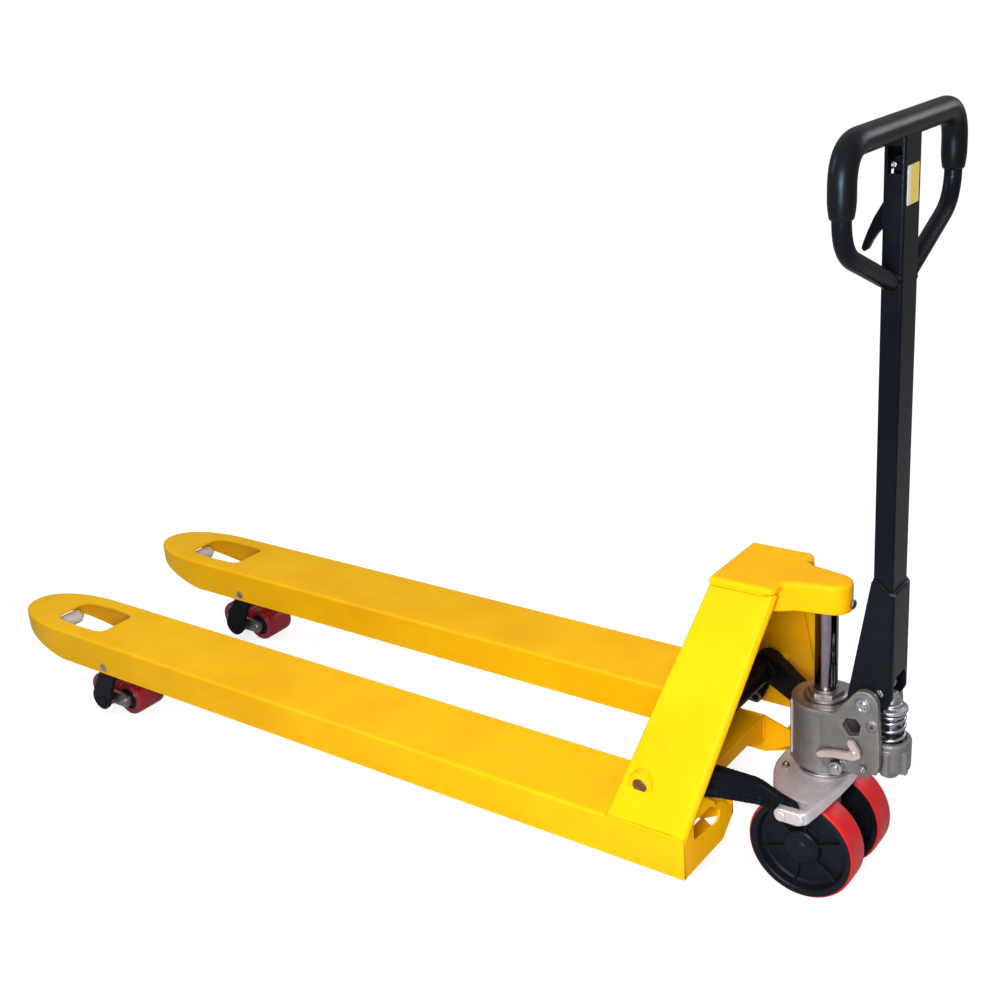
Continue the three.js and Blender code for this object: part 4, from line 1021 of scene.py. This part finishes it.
def build_roller_frames():
    """Two arms with a web between them, the push rod's pin, and stubs that carry the bogie."""
    shells = []
    for sign in (-1, 1):
        arm_y = FORK_Y + sign * 62
        face = arm_y + sign * 4
        shells += [
            plate_at(link(PIVOT, 18, (BOGIE[0] - 10, BOGIE[1] + 2), 25), arm_y, 4, [bore(PIVOT, 7.5)]),
            plate_at(link(PUSH_PIN, 10, (PIVOT[0] - 3, PIVOT[1] + 12), 9), arm_y, 3.9),
            collar("y", 7.8, 12, *sorted((face - sign * 0.8, face + sign * 2.4)), PIVOT, 0.7, 40),
            rod("y", 9.5, *sorted((face - sign * 2.4, face + sign * 1.92)), BOGIE, 1.2, 40),
            rod("y", 7, *sorted((arm_y, FORK_Y + sign * 38)), BOGIE),
        ]
    web_centre = (PIVOT[0] - 12 * math.cos(SWING), PIVOT[1] - 12 * math.sin(SWING))
    shells.append(rod("y", 11.5, FORK_Y - 60, FORK_Y + 60, web_centre))
    shells.append(rod("y", 6, FORK_Y - 62, FORK_Y + 62, PUSH_PIN))
    make_pair("roller_frame_welded_{side}", shells, "handle_paint", "roller_frame_{side}_body",
              ["roller_frame_{side}"], 1.3)


ROLLER_PLACES = {"rear": (BOGIE[0] - 41, BOGIE[1]), "front": (BOGIE[0] + 41, BOGIE[1])}


def build_bogies():
    rear, front = ROLLER_PLACES.values()
    shells = [plate_at(link(rear, 15, front, 15), FORK_Y + side, 4, [bore(BOGIE, 7.6)]) for side in (-42, 42)]
    axle = symmetric([(CORE, -48), (2.2, -46.4), (3, -49), (6.6, -49), (8, -47.5)])
    for centre in (rear, front):
        shells.append(turned("y", shifted(axle, FORK_Y), centre, 0.5, 40))
        for washer_y in (FORK_Y - 46.2, FORK_Y + 46.2):
            shells.append(collar("y", 8.1, 11, washer_y - 0.9, washer_y + 0.9, centre, 0.4, 32))
    make_pair("bogie_linked_{side}", shells, "bare_steel", "bogie_{side}_body", ["bogie_{side}"], 1.0)


def build_load_rollers():
    core = symmetric([(8.5, -33), (13, -33), (13.6, -31), (20, -31), (20.6, -33.6), (24.2, -33.6)])
    tyre = symmetric([(24, -34.6), (32.4, -35), (35.8, -33.2), (37, -29.5)])
    for place, centre in ROLLER_PLACES.items():
        body = "load_roller_{side}_" + place
        make_pair("load_roller_core_turned_{side}_" + place,
                  [turned_ring("y", shifted(core, FORK_Y), centre, 0.7, 56)],
                  "hub_plastic", body, ["load_roller_core_{side}_" + place])
        make_pair("load_roller_tyre_turned_{side}_" + place,
                  [turned_ring("y", shifted(tyre, FORK_Y), centre, 1.6, 80)],
                  "roller_polyurethane", body, ["load_roller_tyre_{side}_" + place])


# ---------------------------------------------------------------- thrust carriage
def build_thrust_plate():
    half = [(-74, -2), (-73, -24), (-67, -48), (-57, -70), (-45, -92), (-34, -115), (21.5, -115),
            (21.5, -133.5), (0, -133.5), (0, -148), (23, -148), (33, -139), (40, -90), (45, -40), (47, -2)]
    radii = [20, 30, 30, 30, 20, 8, 2, 2, 2, 2, 14, 14, 40, 40, 30]
    outline = rounded(symmetric(half), radii + radii[::-1], steps=7)
    shells = [slab(outline, 184, 206.6, 3.4, 3.4), slab(arc((0, 0), 47, 0, 357, 119), 200, 208, 0, 1.0)]
    ear = link((THRUST_PIN[0], 195.3), 11.3, (18, 195.3), 11.3)
    holes = [hole("z", 26.4, 170, 220, segments=64)]
    for sign in (-1, 1):
        shells.append(extrude("y", ear, *sorted((sign * 133.5, sign * 148))))
        holes.append(hole("y", 7.3, *sorted((sign * 104, sign * 150)), THRUST_PIN))
    made = loose("thrust_casting", shells)
    fuse(made, voxel=1.5, smoothing=5)
    combine(made, holes)
    shade(made, angle=40)
    piece(made, "carriage_casting", "thrust_carriage", ["thrust_plate"])


def build_thrust():
    build_thrust_plate()
    pin = [(CORE, -149.6), (6.4, -149.9), (8.6, -149.2), (8.6, -148.1), (7, -147.8), (7, -105),
           (CORE, -104.5)]
    make_pair("thrust_pin_turned_{side}", [turned("y", pin, THRUST_PIN, 0.5, 40)], "carriage_casting",
              "thrust_carriage", ["thrust_pin_{side}"])
    place = (-52, -34)
    stud = [rod("z", 3.4, 204, 214, place, 0.6, 20), hex_head("z", 5.6, 206.4, 210.5, place)]
    make("carriage_stud", stud, "zinc_plate", "thrust_carriage")
    rings = [
        collar("z", 26.4, 43, 207.5, 212.5, edge=0.9, segments=80),
        collar("z", 26.4, 43, 216.7, 221.6, edge=0.9, segments=80),
        collar("z", 28, 40.5, 212.4, 216.8, edge=0.3, segments=80),
    ]
    make("thrust_bearing_rings", rings, "bare_steel", "thrust_carriage", ["thrust_bearing"])


# ---------------------------------------------------------------- pump
DIMPLE = (96, 330)
VALVE = (44, 249)
VALVE_SCREW = (84, 254)
RELEASE_RIVET = (71, 280)


def build_pump_body():
    """Casting with the oil reservoir, two cheeks for the handle, and the spigot that steers."""
    barrel = [(CORE, 222.4), (51, 222.4), (53, 225), (52.4, 240), (52, 322), (53, 326), (53, 334),
              (CORE, 334)]
    cheek = [(14, 246), (40, 240), (104, 246), (108, 262), (108, 302), (104, 350),
             *arc(EAR, 21.5, 0, 150, 16), (46, 350), (38, 338), (30, 334), (14, 334)]
    ear_boss = [(CORE, -52.8), (11, -52.8), (13.5, -50), (13.5, -44), (CORE, -44)]
    dimple_ring = [(CORE, -53.2), (7.4, -53.2), (9, -51), (9, -44), (CORE, -44)]
    valve_boss = [(CORE, -53), (11, -53), (13, -50), (13, -40), (CORE, -40)]
    made = loose("pump_casting_body", [
        turned("z", barrel, edge=1.5, segments=120),
        rod("z", 25.5, 62, 226, edge=1.0, segments=64),
        extrude("y", cheek, -51, -38),
        extrude("y", cheek, 38, 51),
        block([30, 92], [-40, 40], [244, 268]),
        rod("z", 2.6, 226, 330, (-44, -30), 1.0, 16),
        block([20, 92], [-51, -36], [238, 252]),
        turned("y", ear_boss, EAR, 1.0, 48),
        turned("y", dimple_ring, DIMPLE, 0.8, 32),
        turned("y", valve_boss, VALVE, 1.0, 40),
    ])
    fuse(made, voxel=1.4, smoothing=4)
    window = rounded([(48, 320), (55, 334), (71, 336), (79, 326), (76, 308), (60, 303)], 3)
    combine(made, [
        extrude("y", window, -60, -30),
        hole("z", 32.4, 180, 296, (PISTON_X, 0), 64),
        hole("y", 8.4, -60, 60, EAR),
        hole("z", 18.5, 136, 340, segments=64),
        hole("y", 10.4, -40, 40, WHEEL_CENTRE),
        hole("y", 3.6, -58, -48, DIMPLE, 24),
    ])
    shade(made, angle=40)
    piece(made, "pump_casting", "pump", ["pump_body"])
    # A thin pale metal strip down the reservoir's left edge: a painted highlight standing in for the light on
    # that edge.
    strip = extrude("z", link((-40.5, -32.0), 1.6, (-42.5, -33.6), 1.6), 236, 331)
    make("reservoir_highlight_strip", [strip], "release_steel", "pump", angle=60)
    make("reservoir_top_turned", [collar("z", 34.6, 50, 333.2, 334.6, edge=0.4, segments=96)], "bare_steel",
         "pump")


def build_pump_cylinder():
    centre = (PISTON_X, 0)
    cup = [(CORE, 235), (25, 235), (31.6, 241), (32, 286), (30, 290), (CORE, 290)]
    bottom = [(CORE, 221), (11, 221), (14, 224), (14, 240), (CORE, 240)]
    made = loose("pump_cup", [
        turned("z", cup, centre, 2.0, 96),
        turned("z", bottom, centre, 1.2, 48),
        rod("z", 8, 238, 278, (PISTON_X + 4, -28), 1.5, 32),
        block([PISTON_X + 24, PISTON_X + 32.5], [-18, -8], [238, 276]),
    ])
    fuse(made, voxel=1.2, smoothing=3)
    combine(made, [hole("z", 24.6, 270, 300, centre, 64), hole("z", 9.6, 226, 272, centre, 48)])
    shade(made, angle=40)
    piece(made, "pump_casting", "pump", ["pump_cylinder"])


def helix(radius, low, high, turns, per_turn=40):
    """Centre line of a compression spring with closed ends."""
    count = int(turns * per_turn)
    points = []
    for i in range(count + 1):
        share = i / count
        rise = share - 0.055 * math.sin(2 * math.pi * share)
        x, y = polar((PISTON_X, 0), radius, 360 * turns * share)
        points.append((x, y, low + (high - low) * rise))
    return points


def build_piston():
    centre = (PISTON_X, 0)
    cap = [(9.4, 337), (23.6, 337), (25, 338.4), (25, 342), (23.6, 343.6), (18.5, 345), (16.8, 347),
           (17.2, 350), (15, 352), (9.4, 352)]
    make("spring_cap_turned", [turned_ring("z", cap, centre, 0.8, 72)], "zinc_plate", "piston",
         ["spring_cap"])
    piston = [(CORE, 257.5), (9, 257.5), (9, 352.2), (14, 352.2), (14.6, 354), (13, 358), (11, 361),
              (10.5, 367), (8.2, 369.8), (CORE, 370.2)]
    make("piston_turned", [turned("z", piston, centre, 0.9, 64)], "zinc_plate", "piston", ["pump_piston"])
    spring = sweep(helix(20.3, 273.6, 333.4, 5.0), 2.9, 14)
    wound = make("spring_wound", [spring], "zinc_plate", "pump", ["pump_spring"], angle=60)
    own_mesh(wound)


def build_gland():
    flange = [(18.6, 334.6), (34, 334.6), (34, 338.4), (31, 340.4), (18.6, 340.4)]
    wiper = [(18.3, 345), (21.4, 345), (20.6, 349.5), (18.3, 349.5)]
    nut = rounded(hexagon(24.6, (0, 0), 12), 1.0)
    shells = [
        turned_ring("z", flange, edge=0.8, segments=96),
        extrude("z", nut, 339.5, 346.6, [arc((0, 0), 18.6, 0, 352.5, 47)]),
        turned_ring("z", wiper, edge=0.5, segments=80),
    ]
    make("gland_turned", shells, "bare_steel", "pump", ["ram_gland"], 0.6)


def build_pump_pins():
    """Pins through the pump body: the handle's pivot and the wheels' axle."""
    head = [(CORE, -55.2), (4.4, -55), (6.2, -53.6), (8.6, -53.8), (9.8, -55.6), (11.4, -55.2), (12.2, -52.9),
            (8, -52.2)]
    make("handle_pin_turned", [turned("y", symmetric(head), EAR, 0.7, 48)], "zinc_plate", "pump",
         ["handle_pin"])
    end = low_of("wheel_axle").y
    axle = symmetric([(CORE, end), (2.6, end + 2.2), (3.4, end), (8.4, end), (10, end + 1.6)])
    make("wheel_axle_turned", [turned("y", axle, WHEEL_CENTRE, 0.6, 48)], "bare_steel", "pump",
         ["wheel_axle"])


def build_valves():
    cap = [
        rod("y", 6, -52, -38, VALVE),
        rod("y", 10.6, -56, -53, VALVE, 0.8, 40),
        hex_head("y", 10.6, -67, -56, VALVE, 15),
        rod("y", 6.6, -69.4, -66, VALVE, 1.2),
    ]
    make("valve_cap_hex", cap, "zinc_plate", "pump", ["valve_cap"], 0.3)
    screw = [
        rod("y", 3, -51.5, -34, VALVE_SCREW, 0.3, 24),
        hex_head("y", 5, -57, -51.6, VALVE_SCREW),
        rod("y", 2.6, -60, -56, VALVE_SCREW, 0.6, 20),
    ]
    make("valve_screw_hex", screw, "zinc_plate", "pump", ["valve_screw"], 0.2)
    lever = [(10, 264), (14, 257), (24, 260), (40, 264), (58, 266.5), (72, 268), (82, 275), (80, 286),
             (70, 300), (61, 301), (62, 292), (67, 283), (58, 278), (46, 276.5), (34, 274.5), (20, 271)]
    plate = extrude("y", rounded(lever, 3), -60, -53.6, [bore(RELEASE_RIVET, 3.6)])
    rivet = [(CORE, -62.5), (3.4, -62.3), (5.2, -60.6), (5.2, -60), (3.3, -60), (3.3, -54), (CORE, -54)]
    make("release_lever_forged", [plate, turned("y", rivet, RELEASE_RIVET, 0.5, 32)], "release_steel",
         "lowering_lever", ["release_lever"], 1.6)


# ---------------------------------------------------------------- steering wheels
WHEEL_Y = middle("wheel_tread_left").y
SPOKES = 6


def wheel_rib(degrees, sign):
    """A radial rib on one side of the hub's disc."""
    outline = [(sign * a, r) for a, r in ((5, 24), (5, 77), (18, 77), (14.5, 48), (18, 24))]
    points, faces = extrude("x", outline, -2.2, 2.2)
    turn = math.radians(degrees)
    placed = []
    for x, a, r in points:
        u = r * math.cos(turn) - x * math.sin(turn)
        v = r * math.sin(turn) + x * math.cos(turn)
        placed.append((WHEEL_CENTRE[0] + u, WHEEL_Y + a, WHEEL_CENTRE[1] + v))
    return placed, faces


def build_wheels():
    disc = symmetric([(20.4, 21), (27, 21), (30, 19), (31.5, 9), (68, 8), (72, 10.5), (75, 23), (77, 25),
                      (85.2, 25.1), (86, 24.5), (86, 23.9), (83.2, 23.4)])
    shells = [turned_ring("y", shifted(disc, WHEEL_Y), WHEEL_CENTRE, 1.6, 96)]
    for i in range(SPOKES):
        degrees = 20 + 360 / SPOKES * i
        shells += [wheel_rib(degrees, sign) for sign in (-1, 1)]
        bolt = polar(WHEEL_CENTRE, 40, degrees + 180 / SPOKES)
        for sign in (-1, 1):
            ends = sorted((WHEEL_Y + sign * 7, WHEEL_Y + sign * 9.4))
            shells.append(rod("y", 4.2, *ends, bolt, 0.8, 24))
    cap = [(CORE, -25.2), (8.5, -25.0), (11, -23.6), (12.5, -22.2), (17, -22.4), (19, -21.6), (22, -21.4),
           (22, -21.0), (16, -21.0), (14, -21.6), (CORE, -21.8)]
    shells.append(turned("y", shifted(cap, WHEEL_Y), WHEEL_CENTRE, 0.4, 64))
    make_pair("wheel_hub_moulded_{side}", shells, "hub_plastic", "wheel_{side}", ["wheel_hub_{side}"], 0.7)
    tread = symmetric([(83, -23), (86.4, -23.9), (88.3, -23), (89.7, -20), (90, -15)])
    make_pair("wheel_tread_cast_{side}", [turned_ring("y", shifted(tread, WHEEL_Y), WHEEL_CENTRE, 1.5, 128)],
              "wheel_polyurethane", "wheel_{side}", ["wheel_tread_{side}"])
    rings = [collar("y", inner, outer, WHEEL_Y - half, WHEEL_Y + half, WHEEL_CENTRE)
             for inner, outer, half in ((16.5, 20.2, 14), (10.5, 13.5, 14), (13, 17, 12.6))]
    make_pair("wheel_bearing_turned_{side}", rings, "bare_steel", "wheel_{side}", ["wheel_bearing_{side}"])


# ---------------------------------------------------------------- handle
COLUMN_RISE = 9  # the column ends inside the grip
YOKE_LOW, YOKE_TOP, YOKE_FRONT_TOP = 346, 564, 540
HALF_WIDTH, BAR_Z, BEND_Z, FOOT_Z, GRIP_END = 195, 1205, 1075, 1003, 1118


def build_column():
    low, high = low_of("handle_tube").z, high_of("handle_tube").z + COLUMN_RISE
    wall = 3
    half = COLUMN_HALF - wall
    outer = rounded(box_outline(COLUMN_BACK, COLUMN_FRONT, -COLUMN_HALF, COLUMN_HALF), 4.5)
    inner = rounded(box_outline(COLUMN_BACK + wall, COLUMN_FRONT - wall, -half, half), 2)
    trigger_slot = box_outline(COLUMN_BACK - 2, COLUMN_BACK + 4, -8, 8)
    side_window = rounded(box_outline(89, 109, 1146, 1181), 3)
    made = loose("column", [extrude("z", outer, low, high, [inner])])
    carve(made, extrude("z", trigger_slot, 1043, 1148),
          extrude("y", side_window, -COLUMN_HALF - 2, -COLUMN_HALF + 4),
          hole("y", 4.4, -COLUMN_HALF - 2, COLUMN_HALF + 2, TRIGGER_PIN, 24))
    shade(made, angle=35, bevel=0.5, segments=2)
    piece(made, "handle_paint", "handle", ["handle_tube"])


def build_yoke():
    """Bent channel round the column's foot, with two cheeks that reach the pump's ears."""
    rear = 44
    outside, inside = COLUMN_HALF + 6.3, COLUMN_HALF + 0.3
    skin, back = COLUMN_FRONT + 4.5, COLUMN_FRONT + 0.4
    plan = symmetric([(back, inside), (rear, inside), (rear, outside), (skin, outside)])
    made = loose("yoke_bent", [extrude("z", rounded(plan, [3, 0, 0, 9, 9, 0, 0, 3]), 340, 566)])
    front = COLUMN_FRONT + 6
    cheek = [(84, YOKE_TOP), (front, YOKE_FRONT_TOP), (front, 374), (112, 358), (102, YOKE_LOW),
             (64, YOKE_LOW), (50, 356), (50, 366)]
    combine(made, [extrude("y", rounded(cheek, [3, 2, 12, 8, 8, 10, 6, 30]), -60, 60)], "INTERSECT")
    mouth = [(-24.5, 300), (24.5, 300), (24.5, 390), (16, 402), (-16, 402), (-24.5, 390)]
    carve(made, extrude("x", rounded(mouth, 8), 90, 130), hole("y", 8.6, -60, 60, EAR),
          hole("y", 4.5, -60, 60, CAM, 24))
    shade(made, angle=35, bevel=0.8, segments=2)
    piece(made, "handle_paint", "handle", ["yoke"])


def build_handle_welds():
    """Beads where the yoke ends on the column, and round both feet of the loop."""
    side, foot = COLUMN_HALF + 2, COLUMN_HALF + 1.2
    front = COLUMN_FRONT + 2
    seams = []
    for sign in (-1, 1):
        corner = [(84.5, sign * side, YOKE_TOP + 0.5), (COLUMN_FRONT - 2, sign * side, YOKE_FRONT_TOP + 3)]
        seams.append(weld(corner, 2.6, 4 + sign))
    across = [(front, 3 - COLUMN_HALF, YOKE_FRONT_TOP + 1), (front, COLUMN_HALF - 3, YOKE_FRONT_TOP + 1)]
    seams.append(weld(across, 2.4, 11))
    for sign in (-1, 1):
        ring = [(COLUMN_X + 13 * u, sign * foot, FOOT_Z + 13.4 * v) for u, v in arc((0, 0), 1, 0, 360, 36)]
        seams.append(weld(ring, 2.4, 13 + sign))
    make("handle_welds", seams, "handle_paint", "handle", angle=60)


def bezier(a, b, c, steps=12):
    return [a * (1 - t) ** 2 + b * 2 * t * (1 - t) + c * t * t for t in (k / steps for k in range(steps + 1))]


def loop_half(sign):
    """From the foot on the column up one side to the middle of the bar."""
    def at(y, z):
        return Vector((COLUMN_X, sign * y, z))

    foot = at(COLUMN_HALF + 1, FOOT_Z)
    low, high = at(HALF_WIDTH, BEND_Z), at(HALF_WIDTH, BAR_Z)
    rise = Vector((0, 0, 1))
    low_bend, high_bend = 42, 50
    points = [foot, *bezier(low - (low - foot).normalized() * low_bend, low, low + rise * low_bend)]
    points += bezier(high - rise * high_bend, high, at(HALF_WIDTH - high_bend, BAR_Z), 16)
    points.append(at(0, BAR_Z))
    return points


def grip_radius(near):
    """Radius of the cover at a distance from its nearer end: a rounded lip, then a gentle swell."""
    lip, swell = 3, 26
    if near < lip:
        return 13.4 + 1.9 * math.sqrt(max(0.0, 1 - (1 - near / lip) ** 2))
    if near < swell:
        return 15.2 + 2.8 * math.sin(math.pi / 2 * near / swell)
    return 18.0


def build_loop():
    path = resample(loop_half(-1) + list(reversed(loop_half(1)))[1:], 5)
    make("handle_loop_bent", [sweep(path, 12.5, 40)], "handle_paint", "handle", ["handle_loop"], angle=60)
    grip = resample([p for p in path if p.z >= GRIP_END - 6], 1.6)
    run = [0.0]
    for a, b in zip(grip, grip[1:]):
        run.append(run[-1] + (b - a).length)
    radii = [grip_radius(min(here, run[-1] - here)) for here in run]
    make("grip_moulded", [sweep(grip, radii, 48)], "grip_rubber", "handle", ["grip_cover"], angle=60)


def smooth_path(points, steps):
    """A Catmull-Rom curve through the points."""
    out = []
    count = len(points)
    for i in range(count - 1):
        p0, p1, p2, p3 = points[max(i - 1, 0)], points[i], points[i + 1], points[min(i + 2, count - 1)]
        for k in range(steps):
            t = k / steps
            out.append(0.5 * (2 * p1 + (p2 - p0) * t + (2 * p0 - 5 * p1 + 4 * p2 - p3) * t * t
                              + (3 * p1 - p0 - 3 * p2 + p3) * t ** 3))
    out.append(points[-1])
    return out


def build_cam():
    pin = symmetric([(CORE, -37.3), (3.6, -37.2), (5.8, -36.6), (6, -35.8), (4, -35.7)])
    make("cam_pin_turned", [turned("y", pin, CAM, 0.5, 32)], "zinc_plate", "handle", ["cam_pin"])
    roller = symmetric([(4.5, -12), (7.6, -12), (9, -10.6)])
    make("cam_roller_turned", [turned_ring("y", roller, CAM, 0.6, 48)], "zinc_plate", "cam", ["cam_roller"])


def build_trigger():
    lever = [(90, 1152), (85, 1128), (75, 1105), (62.5, 1084), (53.5, 1064), (47.5, 1048), (45.5, 1041),
             (49, 1036), (54, 1039), (60, 1051), (69, 1064), (79, 1072), (88, 1079), (94.5, 1100),
             (98.5, 1120), (101, 1150), (100, 1163), (92, 1163)]
    radii = [6, 10, 20, 30, 30, 10, 4, 4, 4, 12, 16, 10, 12, 20, 20, 6, 6, 6]
    shells = [plate_at(rounded(lever, radii), 0, 5.2), collar("y", 4.5, 9, -9, 9, TRIGGER_PIN, 0.8, 40)]
    make("trigger_cast", shells, "handle_paint", "finger_trigger", ["trigger"], 2.4, 30, 4)
    pin = symmetric([(CORE, -30.6), (1.4, -29.6), (3.4, -31), (4, -30)])
    make("trigger_pin_turned", [turned("y", pin, TRIGGER_PIN, 0.5, 32)], "zinc_plate", "handle",
         ["trigger_pin"])


def build_pull_rod():
    """The release rod, hooked into the lever at its lower end."""
    low, high = low_of("pull_rod").z, high_of("pull_rod").z
    x = middle("pull_rod").x - RAM_X
    bends = [(0, 0, 14), (0.6, 0, 8), (2.2, -2, 3), (1, -4.4, 0.6), (-2.5, -5, 2.5), (-3.6, -4.6, 6.5)]
    hook = smooth_path([Vector((x + u, v, low + w)) for u, v, w in bends], 8)
    make("pull_rod_hooked", [rod("z", 2.5, low + 12, high, (x, 0), 0.6, 24), sweep(hook, 2.6, 20)],
         "zinc_plate", "release_rod", ["pull_rod"], angle=60)


def build_label():
    low, high = low_of("label_plate"), high_of("label_plate")
    outline = rounded(box_outline(low.y, high.y, low.z, high.z), 2.2)
    film = extrude("x", outline, COLUMN_FRONT - 0.1, COLUMN_FRONT + 0.5)
    make("label_film_plain", [film], "label_film", "handle", ["label_plate"], 0.15)


for build in (build_forks, build_entry_rollers, build_frame, build_rocker, build_push_rods,
              build_roller_frames, build_bogies, build_load_rollers, build_thrust, build_pump_body,
              build_pump_cylinder, build_piston, build_gland, build_pump_pins, build_valves, build_wheels,
              build_column, build_yoke, build_handle_welds, build_loop, build_cam, build_trigger,
              build_pull_rod, build_label):
    build()


# ---------------------------------------------------------------- floor, light and camera
def build_stage():
    """A floor that is white to the camera and grey to the light."""
    reach = 200
    mesh = bpy.data.meshes.new("floor")
    corners = [(x, y, 0) for x, y in box_outline(-reach, reach, -reach, reach)]
    mesh.from_pydata(corners, [], [(0, 1, 2, 3)])
    floor = bpy.data.objects.new("floor", mesh)
    bpy.context.scene.collection.objects.link(floor)
    n = Surface("floor_white")
    ray = n.add("ShaderNodeLightPath")
    seen = n.remap(ray.outputs["Is Camera Ray"], 0.0, 1.0, 0.0, 0.76)
    n.set(Base_Color=(0.46, 0.46, 0.46, 1), Roughness=0.9, Emission_Color=(1, 1, 1, 1),
          Emission_Strength=seen)
    mesh.materials.append(n.material)


def build_world():
    """White to the camera; for the light a soft ceiling that is dimmer near the horizon."""
    world = bpy.data.worlds.new("studio")
    world.use_nodes = True
    n = Nodes(world.node_tree)
    split = n.add("ShaderNodeSeparateXYZ")
    n.feed(n.add("ShaderNodeTexCoord").outputs["Generated"], split.inputs[0])
    strength = n.add("ShaderNodeMix")
    n.feed(n.add("ShaderNodeLightPath").outputs["Is Camera Ray"], strength.inputs["Factor"])
    n.feed(n.remap(split.outputs["Z"], 0.02, 0.75, 0.12, 0.62), strength.inputs[2])
    n.feed(1.0, strength.inputs[3])
    back = world.node_tree.nodes["Background"]
    n.feed(strength.outputs[0], back.inputs["Strength"])
    n.feed((1, 1, 1, 1), back.inputs["Color"])
    bpy.context.scene.world = world


def area_light(name, place, target, size, power, colour=(1, 1, 1)):
    data = bpy.data.lights.new(name, "AREA")
    data.shape = "RECTANGLE"
    data.size, data.size_y = size
    data.energy = power
    data.color = colour
    light = bpy.data.objects.new(name, data)
    light.location = place
    light.rotation_mode = "QUATERNION"
    light.rotation_quaternion = (Vector(target) - Vector(place)).to_track_quat("-Z", "Y")
    bpy.context.scene.collection.objects.link(light)


def build_lights():
    area_light("key", (1.25, -1.55, 1.2), (0.45, -0.1, 0.3), (0.45, 0.45), 41, (1.0, 0.98, 0.98))
    area_light("window", (-1.6, -1.2, 2.2), (0.9, 0.0, 1.0), (0.3, 1.0), 26, (0.50, 0.76, 1.0))
    area_light("rim", (1.9, 2.2, 1.9), (0.7, 0.0, 0.6), (0.5, 1.0), 12)


def build_camera():
    """The camera, in front and to the left of the handle, held a little aslant."""
    azimuth, elevation, roll = math.radians(37.8), math.radians(21.4), math.radians(-4.6)
    place = Vector((1.6147, -1.8093, 1.4539))
    level = math.cos(elevation)
    back = Vector((math.sin(azimuth) * level, -math.cos(azimuth) * level, math.sin(elevation)))
    right = Vector((0, 0, 1)).cross(back).normalized()
    up = back.cross(right)
    rolled_right = right * math.cos(roll) + up * math.sin(roll)
    rolled_up = up * math.cos(roll) - right * math.sin(roll)
    data = bpy.data.cameras.new("camera")
    data.sensor_width = 36
    data.lens = 50.36
    camera = bpy.data.objects.new("camera", data)
    columns = Matrix((rolled_right, rolled_up, back)).transposed().to_4x4()
    camera.matrix_world = Matrix.Translation(place) @ columns
    bpy.context.scene.collection.objects.link(camera)
    bpy.context.scene.camera = camera


build_stage()
build_world()
build_lights()
build_camera()
bpy.context.scene.view_settings.view_transform = "Standard"
bpy.context.scene.view_settings.look = "None"
